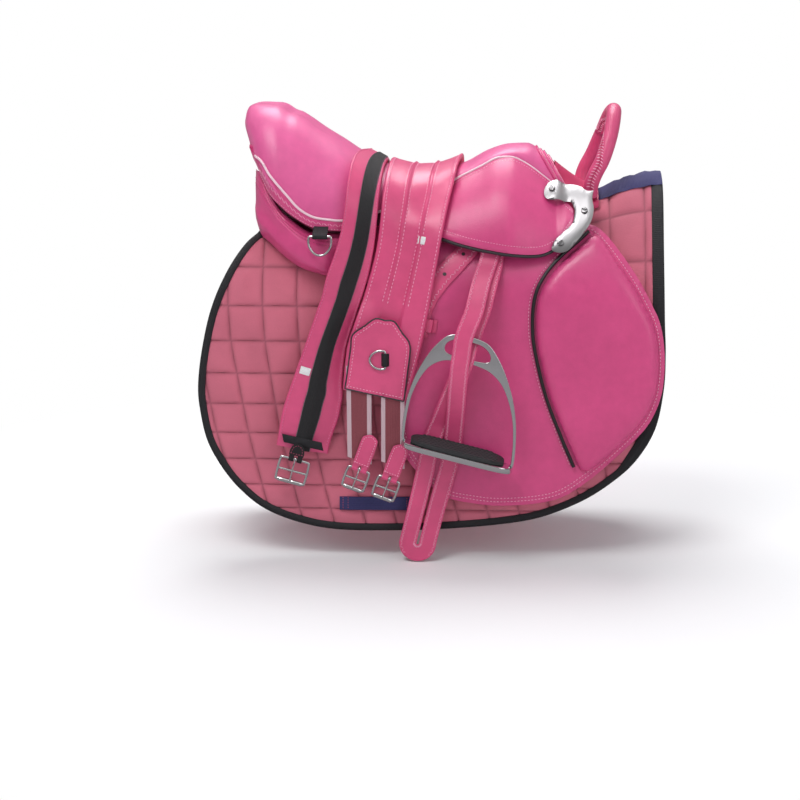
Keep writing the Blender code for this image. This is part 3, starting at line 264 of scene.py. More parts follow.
# Layout
PAD_SIDE = [
    (-184, 0), (-193, 40), (-213, 68), (-234, 105), (-251, 144), (-262, 191), (-267, 232), (-265, 262),
    (-257, 298), (-240, 330), (-219, 356), (-190, 379), (-149, 395), (-101, 403), (-30, 403), (28, 400),
    (87, 394), (134, 385), (180, 366), (214, 344), (243, 317), (265, 279), (274, 232), (275, 190),
    (273, 151), (271, 86), (272, 27), (272, 0),
]

SEAT_REAR = -212.0
REAR_ROUND = 58.0
BASE_REAR = -200.0
half_width_track = track(
    (-212, 103), (-170, 105), (-110, 105), (-80, 98), (-40, 80), (0, 60), (22, 52), (46, 48), (70, 46.5),
    (95, 45), (120, 44), (146, 43),
)
rim_track = track(
    (-200, 84), (-195, 79), (-179, 52), (-156, 31), (-133, 17), (-93, 12), (-40, 26), (0, 42),
    (35, 63), (59, 75), (82, 86), (94, 87), (108, 82), (134, 64), (152, 49),
)
top_track = track(
    (-212, 118), (-207, 137), (-196, 144), (-180, 146), (-159, 143), (-146, 131), (-125, 115), (-104, 101),
    (-80, 84), (-58, 72), (-20, 62), (0, 62), (39, 70), (70, 86), (94, 93), (114, 94), (129, 87), (141, 78),
    (146, 72),
)
drop_track = track((-30, 0), (25, 6))
overhang_track = track((-212, 26), (-208, 15), (-203, 6), (-197, 1), (-190, 0))

STATIONS = (
    -211.6, -209.6, -205.5, -199, -190, -179, -167, -154, -132, -108, -84, -60, -38, -16, 6, 24, 42, 60, 78,
    96, 112, 126, 138, 146,
)
COLUMNS = (0, 0.4, 0.7, 0.9)


def half_width(x, rear=SEAT_REAR):
    """Half of the plan width, narrowing round the rear end."""
    t = (rear + REAR_ROUND - x) / REAR_ROUND
    return half_width_track(x) * (1 - min(max(t, 0), 1) ** 2.6) ** (1 / 2.6)


def base_width(x):
    """Half width of the tree and panels, which stop short of the overhanging cantle."""
    return half_width(x, BASE_REAR)


def column_z(x, y, below, h):
    """Underside of the seat or tree as drawn, with straight runs between the columns."""
    w = base_width(x)
    ys = [w * f for f in COLUMNS] + [w]
    zs = [under_z(x, v, below, h) for v in ys]
    return float(np.interp(y, ys, zs))


def under_z(x, y, below, h):
    return max(rim_track(x) - drop_track(x) - below, arc_z(x, y, h))

def rim_path(outward, down, front):
    """Path round the seat's lower edge, from the right front, round the rear, to the left front."""
    xs = [x for x in STATIONS[::-1] if BASE_REAR + 6 < x <= front] + [BASE_REAR + 4.5, BASE_REAR + 1.2]
    side = [(x, base_width(x)) for x in xs]
    full = [(x, -w) for x, w in side] + [(BASE_REAR, 0)] + [(x, w) for x, w in side[::-1]]
    out = []
    for i, p in enumerate(full):
        a, b = full[max(i - 1, 0)], full[min(i + 1, len(full) - 1)]
        t = Vector((b[0] - a[0], b[1] - a[1], 0)).normalized()
        n = Vector((t.y, -t.x, 0))
        if n.dot(Vector((p[0] + 60, p[1], 0))) < 0:
            n = -n
        tuck = 1.6 * ease((-166 - p[0]) / 12)
        out.append(Vector((p[0], p[1], rim_track(p[0]) - down - tuck)) + n * outward)
    return out

panel_s = track(
    (-200, 50), (-192, 71), (-185, 79), (-170, 93), (-150, 101), (-128, 107), (-113, 110),
    (-60, 112), (60, 104), (138, 78),
)
panel_bulge = track((-200, 40), (-192, 44), (-145, 45), (-120, 38), (-95, 26), (-70, 19.3), (140, 19.3))
panel_cap = track((30, 60), (72, 19.5), (140, 19.0))

PLATE = [
    (133, 44), (137, 38), (144, 36), (155, 38), (166, 41), (175, 45), (182, 50), (189, 51), (187.5, 57),
    (189, 65), (186, 73), (178, 80), (169, 86), (161, 91), (151, 92.5), (142, 90), (144, 84), (154, 78),
    (165, 72), (167.5, 64), (164, 56), (155, 54), (140, 53), (134, 50),
]
PLATE_SCREWS = ((142, 44.5), (178.5, 65), (151.5, 85.5))


def plate_low(x, s):
    return 59.5 - 0.28 * (s - 15) + 6.6 * ease((159 - x) / 12) * ease((62 - s) / 10)

skirt_foot_s = track(
    (-44, 62), (-14, 70), (14, 78), (40, 85), (69, 90), (99, 93), (127, 92), (146, 87), (153, 83), (160, 77),
    (165, 72), (167, 67.5),
)
skirt_foot_h = track((-44, 40), (-20, 43), (90, 45), (127, 38), (146, 37), (153, 38.5), (167, 43.5))
skirt_front_s = track((146, 28.8), (152, 35), (156, 50), (163, 57), (167, 61.5))
skirt_front_h = track((146, 47.8), (152, 48.5), (156, 47.5), (163, 46), (167, 45.2))

FLAP = [
    (-38, 66), (-42, 110), (-43, 170), (-39, 240), (-33, 282), (-26, 306), (-10, 329), (20, 357), (52, 365),
    (87, 368), (133, 364), (162, 355), (192, 334), (224, 305), (250, 278), (263, 256), (271, 228), (272, 188),
    (265, 150), (247, 120), (219, 91), (196, 70), (178, 62),
]
KNEE_REAR = [
    (184, 73), (174, 79), (152, 92), (135, 107), (124, 125), (121, 150), (124, 184), (137, 236), (155, 283), (171, 320),
]
KNEE_PAD = [
    (191, 77), (178, 83.5), (156, 96.5), (139.5, 110.5), (128.8, 127.5), (126, 150.5), (129, 184), (142, 235),
    (160, 281), (177, 319), (187, 324), (218, 298), (242, 272), (255, 251), (263, 226), (264, 189), (257, 154),
    (240, 126), (213, 98), (200, 83),
]
KNEE_PUFF = 8.5

def flap_top(x, s):
    return FLAP_H + FLAP_T

# Middle of each strand as (s, x, h), from the bar over the iron's eye down to the flap. The outer
# strand passes before the eye, the inner one through it.
REST_H = FLAP_H + FLAP_T + LEATHER_CLEAR + LEATHER_T / 2
OUTER = [
    (64, 75, BAR_H + 2.6), (72, 75, BAR_H - 4.0), (94, 71, REST_H + 5.8), (115, 63, IRON_TOP_H - 13.0),
    (138, 55, IRON_TOP_H - 0.5), (157, 47, IRON_TOP_H + 5.5), (170, 43, IRON_TOP_H + 6.8),
    (186, 41, IRON_TOP_H + 7.9), (200, 39, IRON_TOP_H + 8.1), (212, 38, IRON_TOP_H + 6.4),
    (230, 36.5, IRON_TOP_H - 0.5), (252, 35, IRON_TOP_H - 11.5), (270, 33.5, REST_H + 7.2),
    (282, 32.5, REST_H + 3.0), (293, 31.5, REST_H + 0.6), (304, 30.5, REST_H), (330, 24.5, REST_H),
    (372, 13, REST_H), (413, 3, REST_H),
]
INNER = [
    (72, 76, BAR_H - 12.0), (94, 77, REST_H + 1.8), (115, 71, IRON_TOP_H - 18.2),
    (138, 63, IRON_TOP_H - 8.4), (156, 56, IRON_TOP_H - 5.1), (166, 53, IRON_TOP_H - 4.8),
    (172.5, 50.5, IRON_TOP_H - 4.8), (177, 49, IRON_TOP_H - 2.8), (185.5, 47, IRON_TOP_H + 3.2),
    (191, 45.5, IRON_TOP_H + 4.1), (201, 42, IRON_TOP_H + 3.9), (212, 38, IRON_TOP_H + 1.2),
    (230, 31, IRON_TOP_H - 6.0), (252, 22.5, IRON_TOP_H - 17.0), (270, 15.5, REST_H + 2.0),
    (279, 12, REST_H + 0.2), (293, 7, REST_H), (304, 4, REST_H), (330, -1, REST_H),
    (372, -10.5, REST_H), (413, -20.5, REST_H),
]

TAIL = [(68, 60), (84, 46), (97, 32), (111, 16), (126, 3), (144, -5), (170, -9)]
TAIL_W = 21.0
TAIL_HOLES = ((41.5, 88), (20.5, 107), (4.5, 124))
KEEPER_X = -5.8
KEEPER_S = 156.0

IRON_TOP_X = 50.0
IRON_LEAN_X = 0.096
IRON_ROLL = 0.24
IRON_FOOT_H = FLAP_H + FLAP_T + TREAD_DEPTH / 2 + FOOT_CLEAR


def iron_point(side, s, lateral, lift):
    """Point in the iron's own plane: s down the iron, lateral along it and lift off the plane."""
    drop = s - IRON_TOP_S
    x = IRON_TOP_X - drop * IRON_LEAN_X + lateral * math.cos(IRON_ROLL)
    h = mix(IRON_TOP_H, IRON_FOOT_H, drop / (IRON_FOOT_S - IRON_TOP_S))
    return skin(x, side * (s + lateral * math.sin(IRON_ROLL)), h + lift)


def mirrored(half):
    """Closed outline from the points of its right half, listed from the top to the bottom."""
    return half + [(-a, s) for a, s in half[::-1] if a > 0]

FRONT_LEFT = track((-75, -48), (-20, -46), (-9, -46), (40, -49), (76, -55), (110, -66), (126, -72), (151, -81),
                   (180, -90), (215, -94), (245, -96))
FRONT_RIGHT = track((-75, 40), (-20, 39), (-9, 38), (30, 32), (65, 22), (97, 13), (140, 3), (185, -6), (217, -15),
                    (245, -24))
REAR_LEFT = track((-75, -80), (-40, -76), (-9, -72), (30, -85), (69, -94), (108, -109), (175, -133), (293, -173),
                  (310, -177))
REAR_RIGHT = track((-75, -53), (-9, -50), (30, -52), (69, -57), (97, -64), (110, -68.5), (126, -75), (151, -84.5),
                   (180, -94), (215, -100), (243, -107), (310, -115))
UNDER_GIRTHS = (
    "seat", "seat_piping", "skirt", "flap", "panel", "saddle_pad", "pad_binding", "leather_tail", "flap_keeper",
)

def taut(points):
    """Upper hull of (y, z) points, sampled back at each point along its own line to the spine."""
    hull = []
    for i, p in enumerate(points):
        while len(hull) >= 2:
            (y1, z1), (y2, z2) = points[hull[-2]], points[hull[-1]]
            if (y2 - y1) * (p[1] - z1) - (z2 - z1) * (p[0] - y1) > 0:
                hull.pop()
            else:
                break
        hull.append(i)
    out = []
    for i, p in enumerate(points):
        k = max(j for j in range(len(hull)) if hull[j] <= i)
        if hull[k] == i:
            out.append(p)
            continue
        a, b = points[hull[k]], points[hull[k + 1]]
        c = (0.0, -SPINE_RADIUS)
        d = (p[0] - c[0], p[1] - c[1])
        e = (b[0] - a[0], b[1] - a[1])
        det = e[0] * d[1] - d[0] * e[1]
        u = ((a[0] - c[0]) * -e[1] + e[0] * (a[1] - c[1])) / det
        out.append((c[0] + d[0] * u, c[1] + d[1] * u))
    return out

def tilted(angle):
    a = math.radians(angle)
    return Vector((math.cos(a), 0, -math.sin(a))), Vector((-math.sin(a), 0, -math.cos(a)))


PATCH = [(-92, -176), (-88, -150), (-85, -128), (-83, -114), (-70, -104), (-57, -95), (-46, -97), (-36, -98),
         (-27, -111), (-18, -126), (-21, -158), (-25, -190)]
PATCH_RING = (-54, -142)
FRONT_BUCKLES = ((-76.5, -272, 20), (-41.5, -283, 20))
REAR_BUCKLE = (-151, -262, 15)


nodes = frame["nodes"]
home = {node: body for body, held in frame["record"]["behaviour"]["bodies"].items() for node in held}


# Shader nodes
class Value:
    """One output socket that takes part in sums, with numbers or other sockets on either side."""

    def __init__(self, paint, socket):
        self.paint, self.socket = paint, socket

    def _maths(self, op, *args):
        return self.paint.node("ShaderNodeMath", {"operation": op}, dict(enumerate(args)))

    def __add__(self, other):
        return self._maths("ADD", self, other)

    def __sub__(self, other):
        return self._maths("SUBTRACT", self, other)

    def __rsub__(self, other):
        return self._maths("SUBTRACT", other, self)

    def __mul__(self, other):
        return self._maths("MULTIPLY", self, other)

    __radd__, __rmul__ = __add__, __mul__

    def __gt__(self, other):
        return self._maths("GREATER_THAN", self, other)

    def size(self):
        return self._maths("ABSOLUTE", self)

    def wave(self):
        return self._maths("SINE", self)

    def raised(self, power):
        return self._maths("POWER", self, power)


class Paint:
    """Node tree of one finish."""

    def __init__(self, name, color, rough, metal=0.0):
        self.mat = bpy.data.materials.new(name)
        self.mat.use_nodes = True
        self.mat.diffuse_color = (*color, 1.0)
        self.tree = self.mat.node_tree
        self.shader = self.tree.nodes["Principled BSDF"]
        self.set("Base Color", (*color, 1.0))
        self.set("Roughness", rough)
        self.set("Metallic", metal)

    def node(self, kind, settings=None, inputs=None, out=0):
        node = self.tree.nodes.new(kind)
        for key, value in (settings or {}).items():
            if key == "stops":
                ramp = node.color_ramp.elements
                while len(ramp) < len(value):
                    ramp.new(0.5)
                for stop, (place, shade) in zip(ramp, value):
                    stop.position, stop.color = place, shade
            else:
                setattr(node, key, value)
        for key, value in (inputs or {}).items():
            self._fill(node.inputs[key], value)
        return Value(self, node.outputs[out])

    def _fill(self, socket, value):
        if isinstance(value, Value):
            self.tree.links.new(value.socket, socket)
        else:
            socket.default_value = value

    def set(self, socket, value):
        self._fill(self.shader.inputs[socket], value)

    def place(self, turn=(0, 0, 0), scale=(1, 1, 1)):
        spot = self.node("ShaderNodeTexCoord", out="Object")
        if turn == (0, 0, 0) and scale == (1, 1, 1):
            return spot
        return self.node("ShaderNodeMapping", {}, {"Vector": spot, "Rotation": turn, "Scale": scale})

    def noise(self, scale, detail=3.0, rough=0.5, at=None):
        return self.node("ShaderNodeTexNoise", {}, {
            "Vector": at or self.place(), "Scale": scale, "Detail": detail, "Roughness": rough})

    def along(self, name):
        return self.node("ShaderNodeAttribute", {"attribute_name": name}, out="Fac")

    def blend(self, share, first, second):
        return self.node("ShaderNodeMix", {"data_type": "RGBA"}, {0: share, 6: first, 7: second}, out=2)

    def ramp(self, value, low, high):
        return self.node("ShaderNodeMapRange", {}, {0: value, 1: low, 2: high})

    def bump(self, height, strength, distance, under=None):
        spot = {"Height": height, "Strength": strength, "Distance": distance}
        if under is not None:
            spot["Normal"] = under
        return self.node("ShaderNodeBump", {}, spot)


def tone(color, k):
    return (*(min(c * k, 1.0) for c in color), 1.0)


def leather(name, color, rough=0.36, coat=0.18, grain=1.0, wear=0.10, inner=None):
    """Coated leather: fine pebbled grain, soft mottling and a little unevenness of shine.

    inner names an attribute that fades the colour into a dark crimson, painted shade on surfaces that face away from
    the light.
    """
    p = Paint(name, color, rough)
    cloudy, mottle = p.noise(11.0, 2.0), p.noise(85.0, 3.0, 0.6)
    share = p.ramp(cloudy * 0.65 + mottle * 0.35, 0.33, 0.67)
    base = p.blend(share, tone(color, 1 - wear), tone(color, 1 + wear))
    # Painted shade: where the inner mark is high the colour turns dark crimson.
    if inner:
        base = p.blend(p.ramp(p.along(inner), 0.0, 1.0), base, tone(SHADE_CRIMSON, 1.0))
    p.set("Base Color", base)
    cells = p.node("ShaderNodeTexVoronoi", {"feature": "SMOOTH_F1"}, {
        "Vector": p.place(), "Scale": 950.0, "Smoothness": 0.4})
    grained = p.bump(cells, 0.22 * grain, 0.0004)
    p.set("Normal", p.bump(p.noise(260.0, 4.0, 0.55), 0.16 * grain, 0.0006, grained))
    p.set("Roughness", rough + 0.16 * (mottle - 0.5) + 0.08 * (cloudy - 0.5))
    p.set("Coat Weight", coat)
    p.set("Coat Roughness", 0.28)
    return p.mat


def quilted_cotton(name, color):
    """Woven cotton: crossed threads in relief, cloudy tone that varies at random, and painted shade darkening the seam
    valleys.
    """
    p = Paint(name, color, 0.82)
    cloudy, fuzz = p.noise(16.0, 3.0), p.noise(900.0, 2.0, 0.7)
    seam = p.along("seam")
    share = p.ramp(cloudy * 0.7 + fuzz * 0.3, 0.32, 0.68)
    base = p.blend(share, tone(color, 0.88), tone(color, 1.10))
    # Painted shade: the colour falls to half its brightness in the quilted seam valleys.
    p.set("Base Color", p.blend(seam.raised(3.0) * 0.75, base, tone(color, 0.50)))
    run = p.along("warp") * 4.6
    fill = p.along("weft") * 4.6
    weave = run.wave() * 0.5 + fill.wave() * 0.5
    p.set("Normal", p.bump(weave + fuzz, 0.35, 0.0004))
    p.set("Roughness", 0.80 + 0.16 * (fuzz - 0.5))
    p.set("Sheen Weight", 0.25)
    p.set("Sheen Roughness", 0.5)
    return p.mat


def tape(name, color, pitch=1.3, edge=None, edge_at=0.7):
    """Woven tape or elastic: fine cross ribs, and a second colour in stripes near both edges, real on the brown elastic
    and a painted highlight on the black one.
    """
    rough = 0.75
    p = Paint(name, color, rough)
    run, across = p.along("run"), p.along("across")
    ribs = (run * (2 * math.pi / pitch)).wave()
    fuzz = p.noise(700.0, 3.0, 0.65)
    base = p.blend(fuzz, tone(color, 0.75), tone(color, 1.35))
    if edge is not None:
        base = p.blend(across.size() > edge_at, base, tone(edge, 1.0))
    p.set("Base Color", base)
    p.set("Normal", p.bump(ribs * 0.6 + fuzz + (across * 30.0).wave() * 0.3, 0.5, 0.0004))
    p.set("Roughness", rough + 0.15 * (fuzz - 0.5))
    return p.mat


def polished(name, color, rough, brushed=0.0, turn=(0, 0, 0)):
    """Stainless steel: smudged shine, with brush marks where it isn't mirror bright."""
    p = Paint(name, color, rough, 1.0)
    smudge = p.noise(45.0, 4.0, 0.6)
    p.set("Roughness", rough + 0.14 * (smudge - 0.45))
    p.set("Base Color", p.blend(smudge, tone(color, 0.93), tone(color, 1.05)))
    streaks = p.noise(600.0, 2.0, 0.5, p.place(turn, (1.0, 1.0, 0.03)))
    p.set("Normal", p.bump(streaks + p.noise(120.0) * 0.5, 0.04 + brushed, 0.0003))
    return p.mat


def rubber(name, color):
    p = Paint(name, color, 0.72)
    specks = p.noise(1200.0, 3.0, 0.7)
    p.set("Base Color", p.blend(specks, tone(color, 0.7), tone(color, 1.9)))
    p.set("Normal", p.bump(specks + p.noise(300.0) * 0.4, 0.35, 0.0003))
    p.set("Roughness", 0.66 + 0.2 * (specks - 0.5))
    return p.mat


def thread(name, color):
    """Twisted sewing thread."""
    p = Paint(name, color, 0.55)
    twist = p.noise(1800.0, 2.0, 0.6)
    p.set("Base Color", p.blend(twist, tone(color, 0.82), tone(color, 1.08)))
    p.set("Normal", p.bump(twist, 0.3, 0.0002))
    return p.mat


# The dark crimson is painted shade: the pink as it looks in shadow, on the seat's front face, the handle's inner side
# and the pommel's underside.
SHADE_CRIMSON = (0.50, 0.022, 0.105)
SEAT_PINK = (0.72, 0.105, 0.30)
# The flap pink is the seat pink darkened as painted shade for the side pieces: flaps, skirts, knee pads, panels, the
# cantle band and a pommel edge layer.
SHADED_FLAP_PINK = (0.62, 0.058, 0.205)
STRAP_PINK = (0.66, 0.070, 0.195)
seat_leather = leather("seat_leather", SEAT_PINK, 0.40, 0.20, inner="inside")
handle_leather = leather("handle_leather", STRAP_PINK, 0.42, 0.15, inner="across")
flap_leather = leather("flap_leather", SHADED_FLAP_PINK, 0.38, 0.20)
pad_leather = leather("knee_leather", SHADED_FLAP_PINK, 0.36, 0.22)
strap_leather = leather("strap_leather", STRAP_PINK, 0.42, 0.12)
girth_leather = leather("girth_leather", STRAP_PINK, 0.36, 0.22)
panel_leather = leather("panel_leather", SHADED_FLAP_PINK, 0.40, 0.15)
painted_shade_crimson = leather("painted_shade_crimson", SHADE_CRIMSON, 0.55, 0.05)
# Near-black painted shade for the gap above the panels.
painted_gap_shade = leather("painted_gap_shade", (0.10, 0.008, 0.03), 0.7, 0.0)
raw_edge = leather("raw_edge", (0.70, 0.20, 0.34), 0.6, 0.0, 1.6, 0.2)
pale_piping = leather("pale_piping", (0.86, 0.60, 0.68), 0.42, 0.15, 0.6, 0.06)
black_piping = leather("black_piping", (0.012, 0.010, 0.012), 0.42, 0.15, 1.0, 0.3)
cotton = quilted_cotton("quilted_cotton", (0.585, 0.135, 0.200))
black_tape = tape("black_tape", (0.013, 0.012, 0.015), 1.4)
navy_web = tape("navy_webbing", (0.030, 0.028, 0.115), 1.6)
# The pale stripes at the black elastic's edges are a painted highlight along their rounded rims.
black_elastic = tape("black_elastic", (0.013, 0.012, 0.014), 1.1, (0.16, 0.13, 0.15), 0.93)
brown_elastic = tape("brown_elastic", (0.22, 0.045, 0.060), 1.1, (0.56, 0.40, 0.44), 0.64)
bright_steel = polished("bright_steel", (0.74, 0.74, 0.75), 0.12)
plate_steel = polished("plate_steel", (0.34, 0.33, 0.34), 0.38, 0.03, (0.5, 0.4, 0.2))
tread_rubber = rubber("tread_rubber", (0.016, 0.016, 0.018))
pink_thread = thread("pink_thread", (0.90, 0.42, 0.58))
soft_thread = thread("soft_thread", (0.72, 0.16, 0.32))
dark_thread = thread("dark_thread", (0.40, 0.06, 0.13))
# Near black: real edge paint on the girth patch, painted shade under the skirts' edges and inside the strap holes.
edge_paint_and_shade = leather("edge_paint_and_painted_shade", (0.035, 0.028, 0.034), 0.5, 0.1, 0.5, 0.2)
tag_cloth = tape("tag_cloth", (0.80, 0.79, 0.80), 0.7)


# Pieces
def rounded(t):
    """Height of a quarter round at share t of its width."""
    return math.sqrt(max(0.0, 1 - (1 - min(t, 1)) ** 2))


def repaint(name, finish):
    """Gives a CAD node that stays in view its finish."""
    for held in nodes[name].material_slots:
        held.material = finish


def finish_piece(name, bm, finish, node, swap=(), angle=40.0, body=None):
    """Makes the bmesh a piece that rides with the node's body and stands for the nodes in swap."""
    mesh = bpy.data.meshes.new(name)
    bm.to_mesh(mesh)
    bm.free()
    mesh.materials.append(finish)
    mesh.polygons.foreach_set("use_smooth", [True] * len(mesh.polygons))
    mesh.set_sharp_from_angle(angle=math.radians(angle))
    obj = bpy.data.objects.new(name, mesh)
    bpy.context.scene.collection.objects.link(obj)
    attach(obj, body or home[node])
    if swap:
        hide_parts(*((swap,) if isinstance(swap, str) else swap))
    return obj


def stretch(rows, ring=True, loop=False, marks=None):
    """Grid laid over rows of points (millimetres). ring joins each row's ends, loop joins the rows."""
    nu, nv = len(rows), len(rows[0])
    su, sv = (nu if loop else nu - 1), (nv if ring else nv - 1)
    bm = bmesh.new()
    bmesh.ops.create_grid(bm, x_segments=su, y_segments=sv, size=1.0)
    run, across = bm.verts.layers.float.new("run"), bm.verts.layers.float.new("across")
    for v in bm.verts:
        i, j = round((v.co.x + 1) / 2 * su), round((v.co.y + 1) / 2 * sv)
        if marks:
            v[run], v[across] = marks(i, j % nv)
        v.co = Vector(rows[i % nu][j % nv]) * MM
    bmesh.ops.remove_doubles(bm, verts=bm.verts, dist=2e-6)
    if ring and not loop:
        bmesh.ops.holes_fill(bm, edges=[e for e in bm.edges if e.is_boundary], sides=0)
    bmesh.ops.recalc_face_normals(bm, faces=bm.faces)
    return bm


def hose(path, radius, sides=12, loop=False):
    """Round bar along a path; the radius may be one number for each point."""
    fr = frames(path, loop)
    radii = radius if isinstance(radius, (list, tuple)) else [radius] * len(fr)
    rows = []
    for (p, u, v), r in zip(fr, radii):
        turns = [2 * math.pi * k / sides for k in range(sides)]
        rows.append([p + u * (r * math.cos(a)) + v * (r * math.sin(a)) for a in turns])
    return stretch(rows, True, loop)


def bent_strap(path, t, stations, place):
    """Strip of thickness t along a flat path; stations pair a place across it with its share of t."""
    both = [(-w, share) for w, share in stations[::-1]] + [(0, 1.0)] + list(stations)
    return [[place(w, a, b) for a, b in ribbon_section(path, t * share)] for w, share in both]


def curve(points, step, closed=False, sharp=()):
    return [Vector(p) for p in spline(points, step, closed, sharp)]


def distances(outline, at, closed=True):
    """Distance of many flat points to a line, which closes on itself or stays open."""
    pts = np.array([tuple(p) for p in outline], float)
    seg = np.roll(pts, -1, axis=0) - pts
    if not closed:
        pts, seg = pts[:-1], seg[:-1]
    length = np.maximum((seg**2).sum(axis=1), 1e-12)
    at = np.array(at, float)
    best = np.full(len(at), 1e9)
    for a, d, n in zip(pts, seg, length):
        t = np.clip(((at - a) @ d) / n, 0, 1)
        best = np.minimum(best, np.hypot(*(a + t[:, None] * d - at).T))
    return best


def slice_up(bm, axis, low, high, step):
    count = int((high - low) / step)
    for k in range(1, count):
        co, no = [0, 0, 0], [0, 0, 0]
        co[axis], no[axis] = mix(low, high, k / count), 1
        bmesh.ops.bisect_plane(bm, geom=bm.verts[:] + bm.edges[:] + bm.faces[:], dist=1e-4, plane_co=co, plane_no=no)


def cut_out(outline, rings, step):
    """Flat piece cut along an outline, with rings of edges inside its rim, doubled into two skins."""
    bm = bmesh.new()
    bmesh.ops.create_circle(bm, cap_ends=True, segments=len(outline), radius=1.0)
    for v, p in zip(bm.verts, outline):
        v.co = (p[0], p[1], 0)
    bm.normal_update()
    done = 0.0
    for d in rings:
        biggest = max(bm.faces, key=lambda f: f.calc_area())
        bmesh.ops.inset_region(bm, faces=[biggest], thickness=d - done, use_even_offset=True)
        done = d
    for axis in (0, 1):
        places = [p[axis] for p in outline]
        slice_up(bm, axis, min(places), max(places), step)
    bmesh.ops.triangulate(bm, faces=[f for f in bm.faces if len(f.verts) > 4])
    made = bmesh.ops.extrude_face_region(bm, geom=bm.faces[:])
    return bm, {v for v in made["geom"] if isinstance(v, bmesh.types.BMVert)}


def layer(outline, low, high, spot, step=7.0, edge=0.8, grooves=(), groove=0.4):
    """Cut piece of leather, rounded at its rim, with pressed stitch grooves at distances from the rim."""
    rings = [edge * 0.3, edge]
    for g in grooves:
        rings += [g - 0.9, g, g + 0.9]
    bm, upper = cut_out(outline, rings, step)
    verts = bm.verts[:]
    away = distances(outline, [(v.co.x, v.co.y) for v in verts])
    for v, d in zip(verts, away):
        a, b = v.co.x, v.co.y
        lo, hi = low(a, b), high(a, b)
        full = rounded(d / edge)
        if v in upper:
            h = mix((lo + hi) / 2, hi, max(full, 0.15))
            h -= sum(groove * math.exp(-(((d - g) / 0.8) ** 2)) for g in grooves)
        else:
            h = mix((lo + hi) / 2, lo, max(full, 0.15))
        v.co = spot(a, b, h) * MM
    bmesh.ops.recalc_face_normals(bm, faces=bm.faces)
    return bm


threads = {}
stitch_tool = bmesh.new()
bmesh.ops.create_uvsphere(stitch_tool, u_segments=6, v_segments=4, radius=1.0)
stitch_mesh = bpy.data.meshes.new("stitch_tool")
stitch_tool.to_mesh(stitch_mesh)
stitch_tool.free()


def stitch(key, a, b, normal, wide=0.55, proud=0.25):
    """One stitch from a to b, half sunk along the normal."""
    bm = threads.setdefault(key, bmesh.new())
    x = (b - a)
    half = x.length / 2
    x = x.normalized()
    z = (normal - x * normal.dot(x)).normalized()
    y = z.cross(x)
    c = ((a + b) / 2 + z * proud) * MM
    turn = Matrix((
        (x.x * half * MM, y.x * wide * MM, z.x * wide * MM * 0.8, c.x),
        (x.y * half * MM, y.y * wide * MM, z.y * wide * MM * 0.8, c.y),
        (x.z * half * MM, y.z * wide * MM, z.z * wide * MM * 0.8, c.z),
        (0, 0, 0, 1),
    ))
    stitch_mesh.transform(turn)
    bm.from_mesh(stitch_mesh)
    stitch_mesh.transform(turn.inverted())


def walk(points, pitch):
    """Points at an even pitch along a polyline."""
    pts = [Vector(p) for p in points]
    out, left = [], 0.0
    for a, b in zip(pts, pts[1:]):
        length = (b - a).length
        while left <= length:
            out.append(a.lerp(b, left / max(length, 1e-9)))
            left += pitch
        left -= length
    return out


def sew(key, points, normals, pitch=4.2, share=0.68, wide=0.5, proud=0.2):
    """Row of straight stitches along points, each with its own outward direction."""
    step = 0.0
    for (a, b), n in zip(zip(points, points[1:]), normals):
        length = (b - a).length
        while step <= length:
            p = a.lerp(b, step / max(length, 1e-9))
            d = (b - a).normalized() * (pitch * share / 2)
            stitch(key, p - d, p + d, n, wide, proud)
            step += pitch
        step -= length


def zigzag(key, points, normals, wide, proud):
    """Slanting stitches, each from one point to the next."""
    for a, b, n in zip(points, points[1:], normals):
        stitch(key, a.lerp(b, 0.1), a.lerp(b, 0.9), n, wide, proud)


def out_at(x, s, side):
    """Outward direction of the back surface."""
    return (skin(x, side * s, 30) - skin(x, side * s, 20)).normalized()


def sew_flat(key, path, side, h, pitch=4.2, wide=0.5):
    """Row of stitches along an (x, s) path at height h, which may be a function of x and s."""
    heights = [h(p[0], p[1]) if callable(h) else h for p in path]
    points = [skin(p[0], side * p[1], q) for p, q in zip(path, heights)]
    normals = [out_at(p[0], p[1], side) for p in path]
    sew(key, points, normals, pitch, wide=wide)


# The saddle pad
QUILT_S = track((-0.3, 0), (0, 12), (1, 54), (2, 96), (3, 138.5), (4, 179.5), (5, 217.5), (6, 253.5), (7, 288),
                (8, 319), (9, 349.5), (10, 377.5), (11, 405), (12, 432))
QUILT_LEAN = track((138, 0), (180, 2.7), (218, 8.5), (254, 14.3), (288, 20), (319, 27), (350, 34.5), (432, 56))
QUILT_X = -190.3
QUILT_CELL = 40.0
CELL_STEPS = 10


def pad_curve(step):
    right = [(x, -s) for x, s in PAD_SIDE[::-1]][1:-1]
    return spline(PAD_SIDE + right, step, closed=True)


def under_saddle(x, s):
    """How far inside the saddle's footprint a point of the pad lies, from 0 to 1."""
    return ease((132 - abs(s)) / 10) * ease((x + 212) / 10) * ease((176 - x) / 10)


def tighten(t):
    """Brings the mesh lines closer together beside each seam."""
    return t - 0.5 * math.sin(2 * math.pi * t) / (2 * math.pi)


def fold(x, s):
    """Loose folds of the spine band where it shows in front of the saddle."""
    front = ease((x - 205) / 15)
    return front * (1.6 + 0.9 * math.sin(x * 0.33 + s * 0.05) + 0.5 * math.sin(s * 0.4 + x * 0.12))


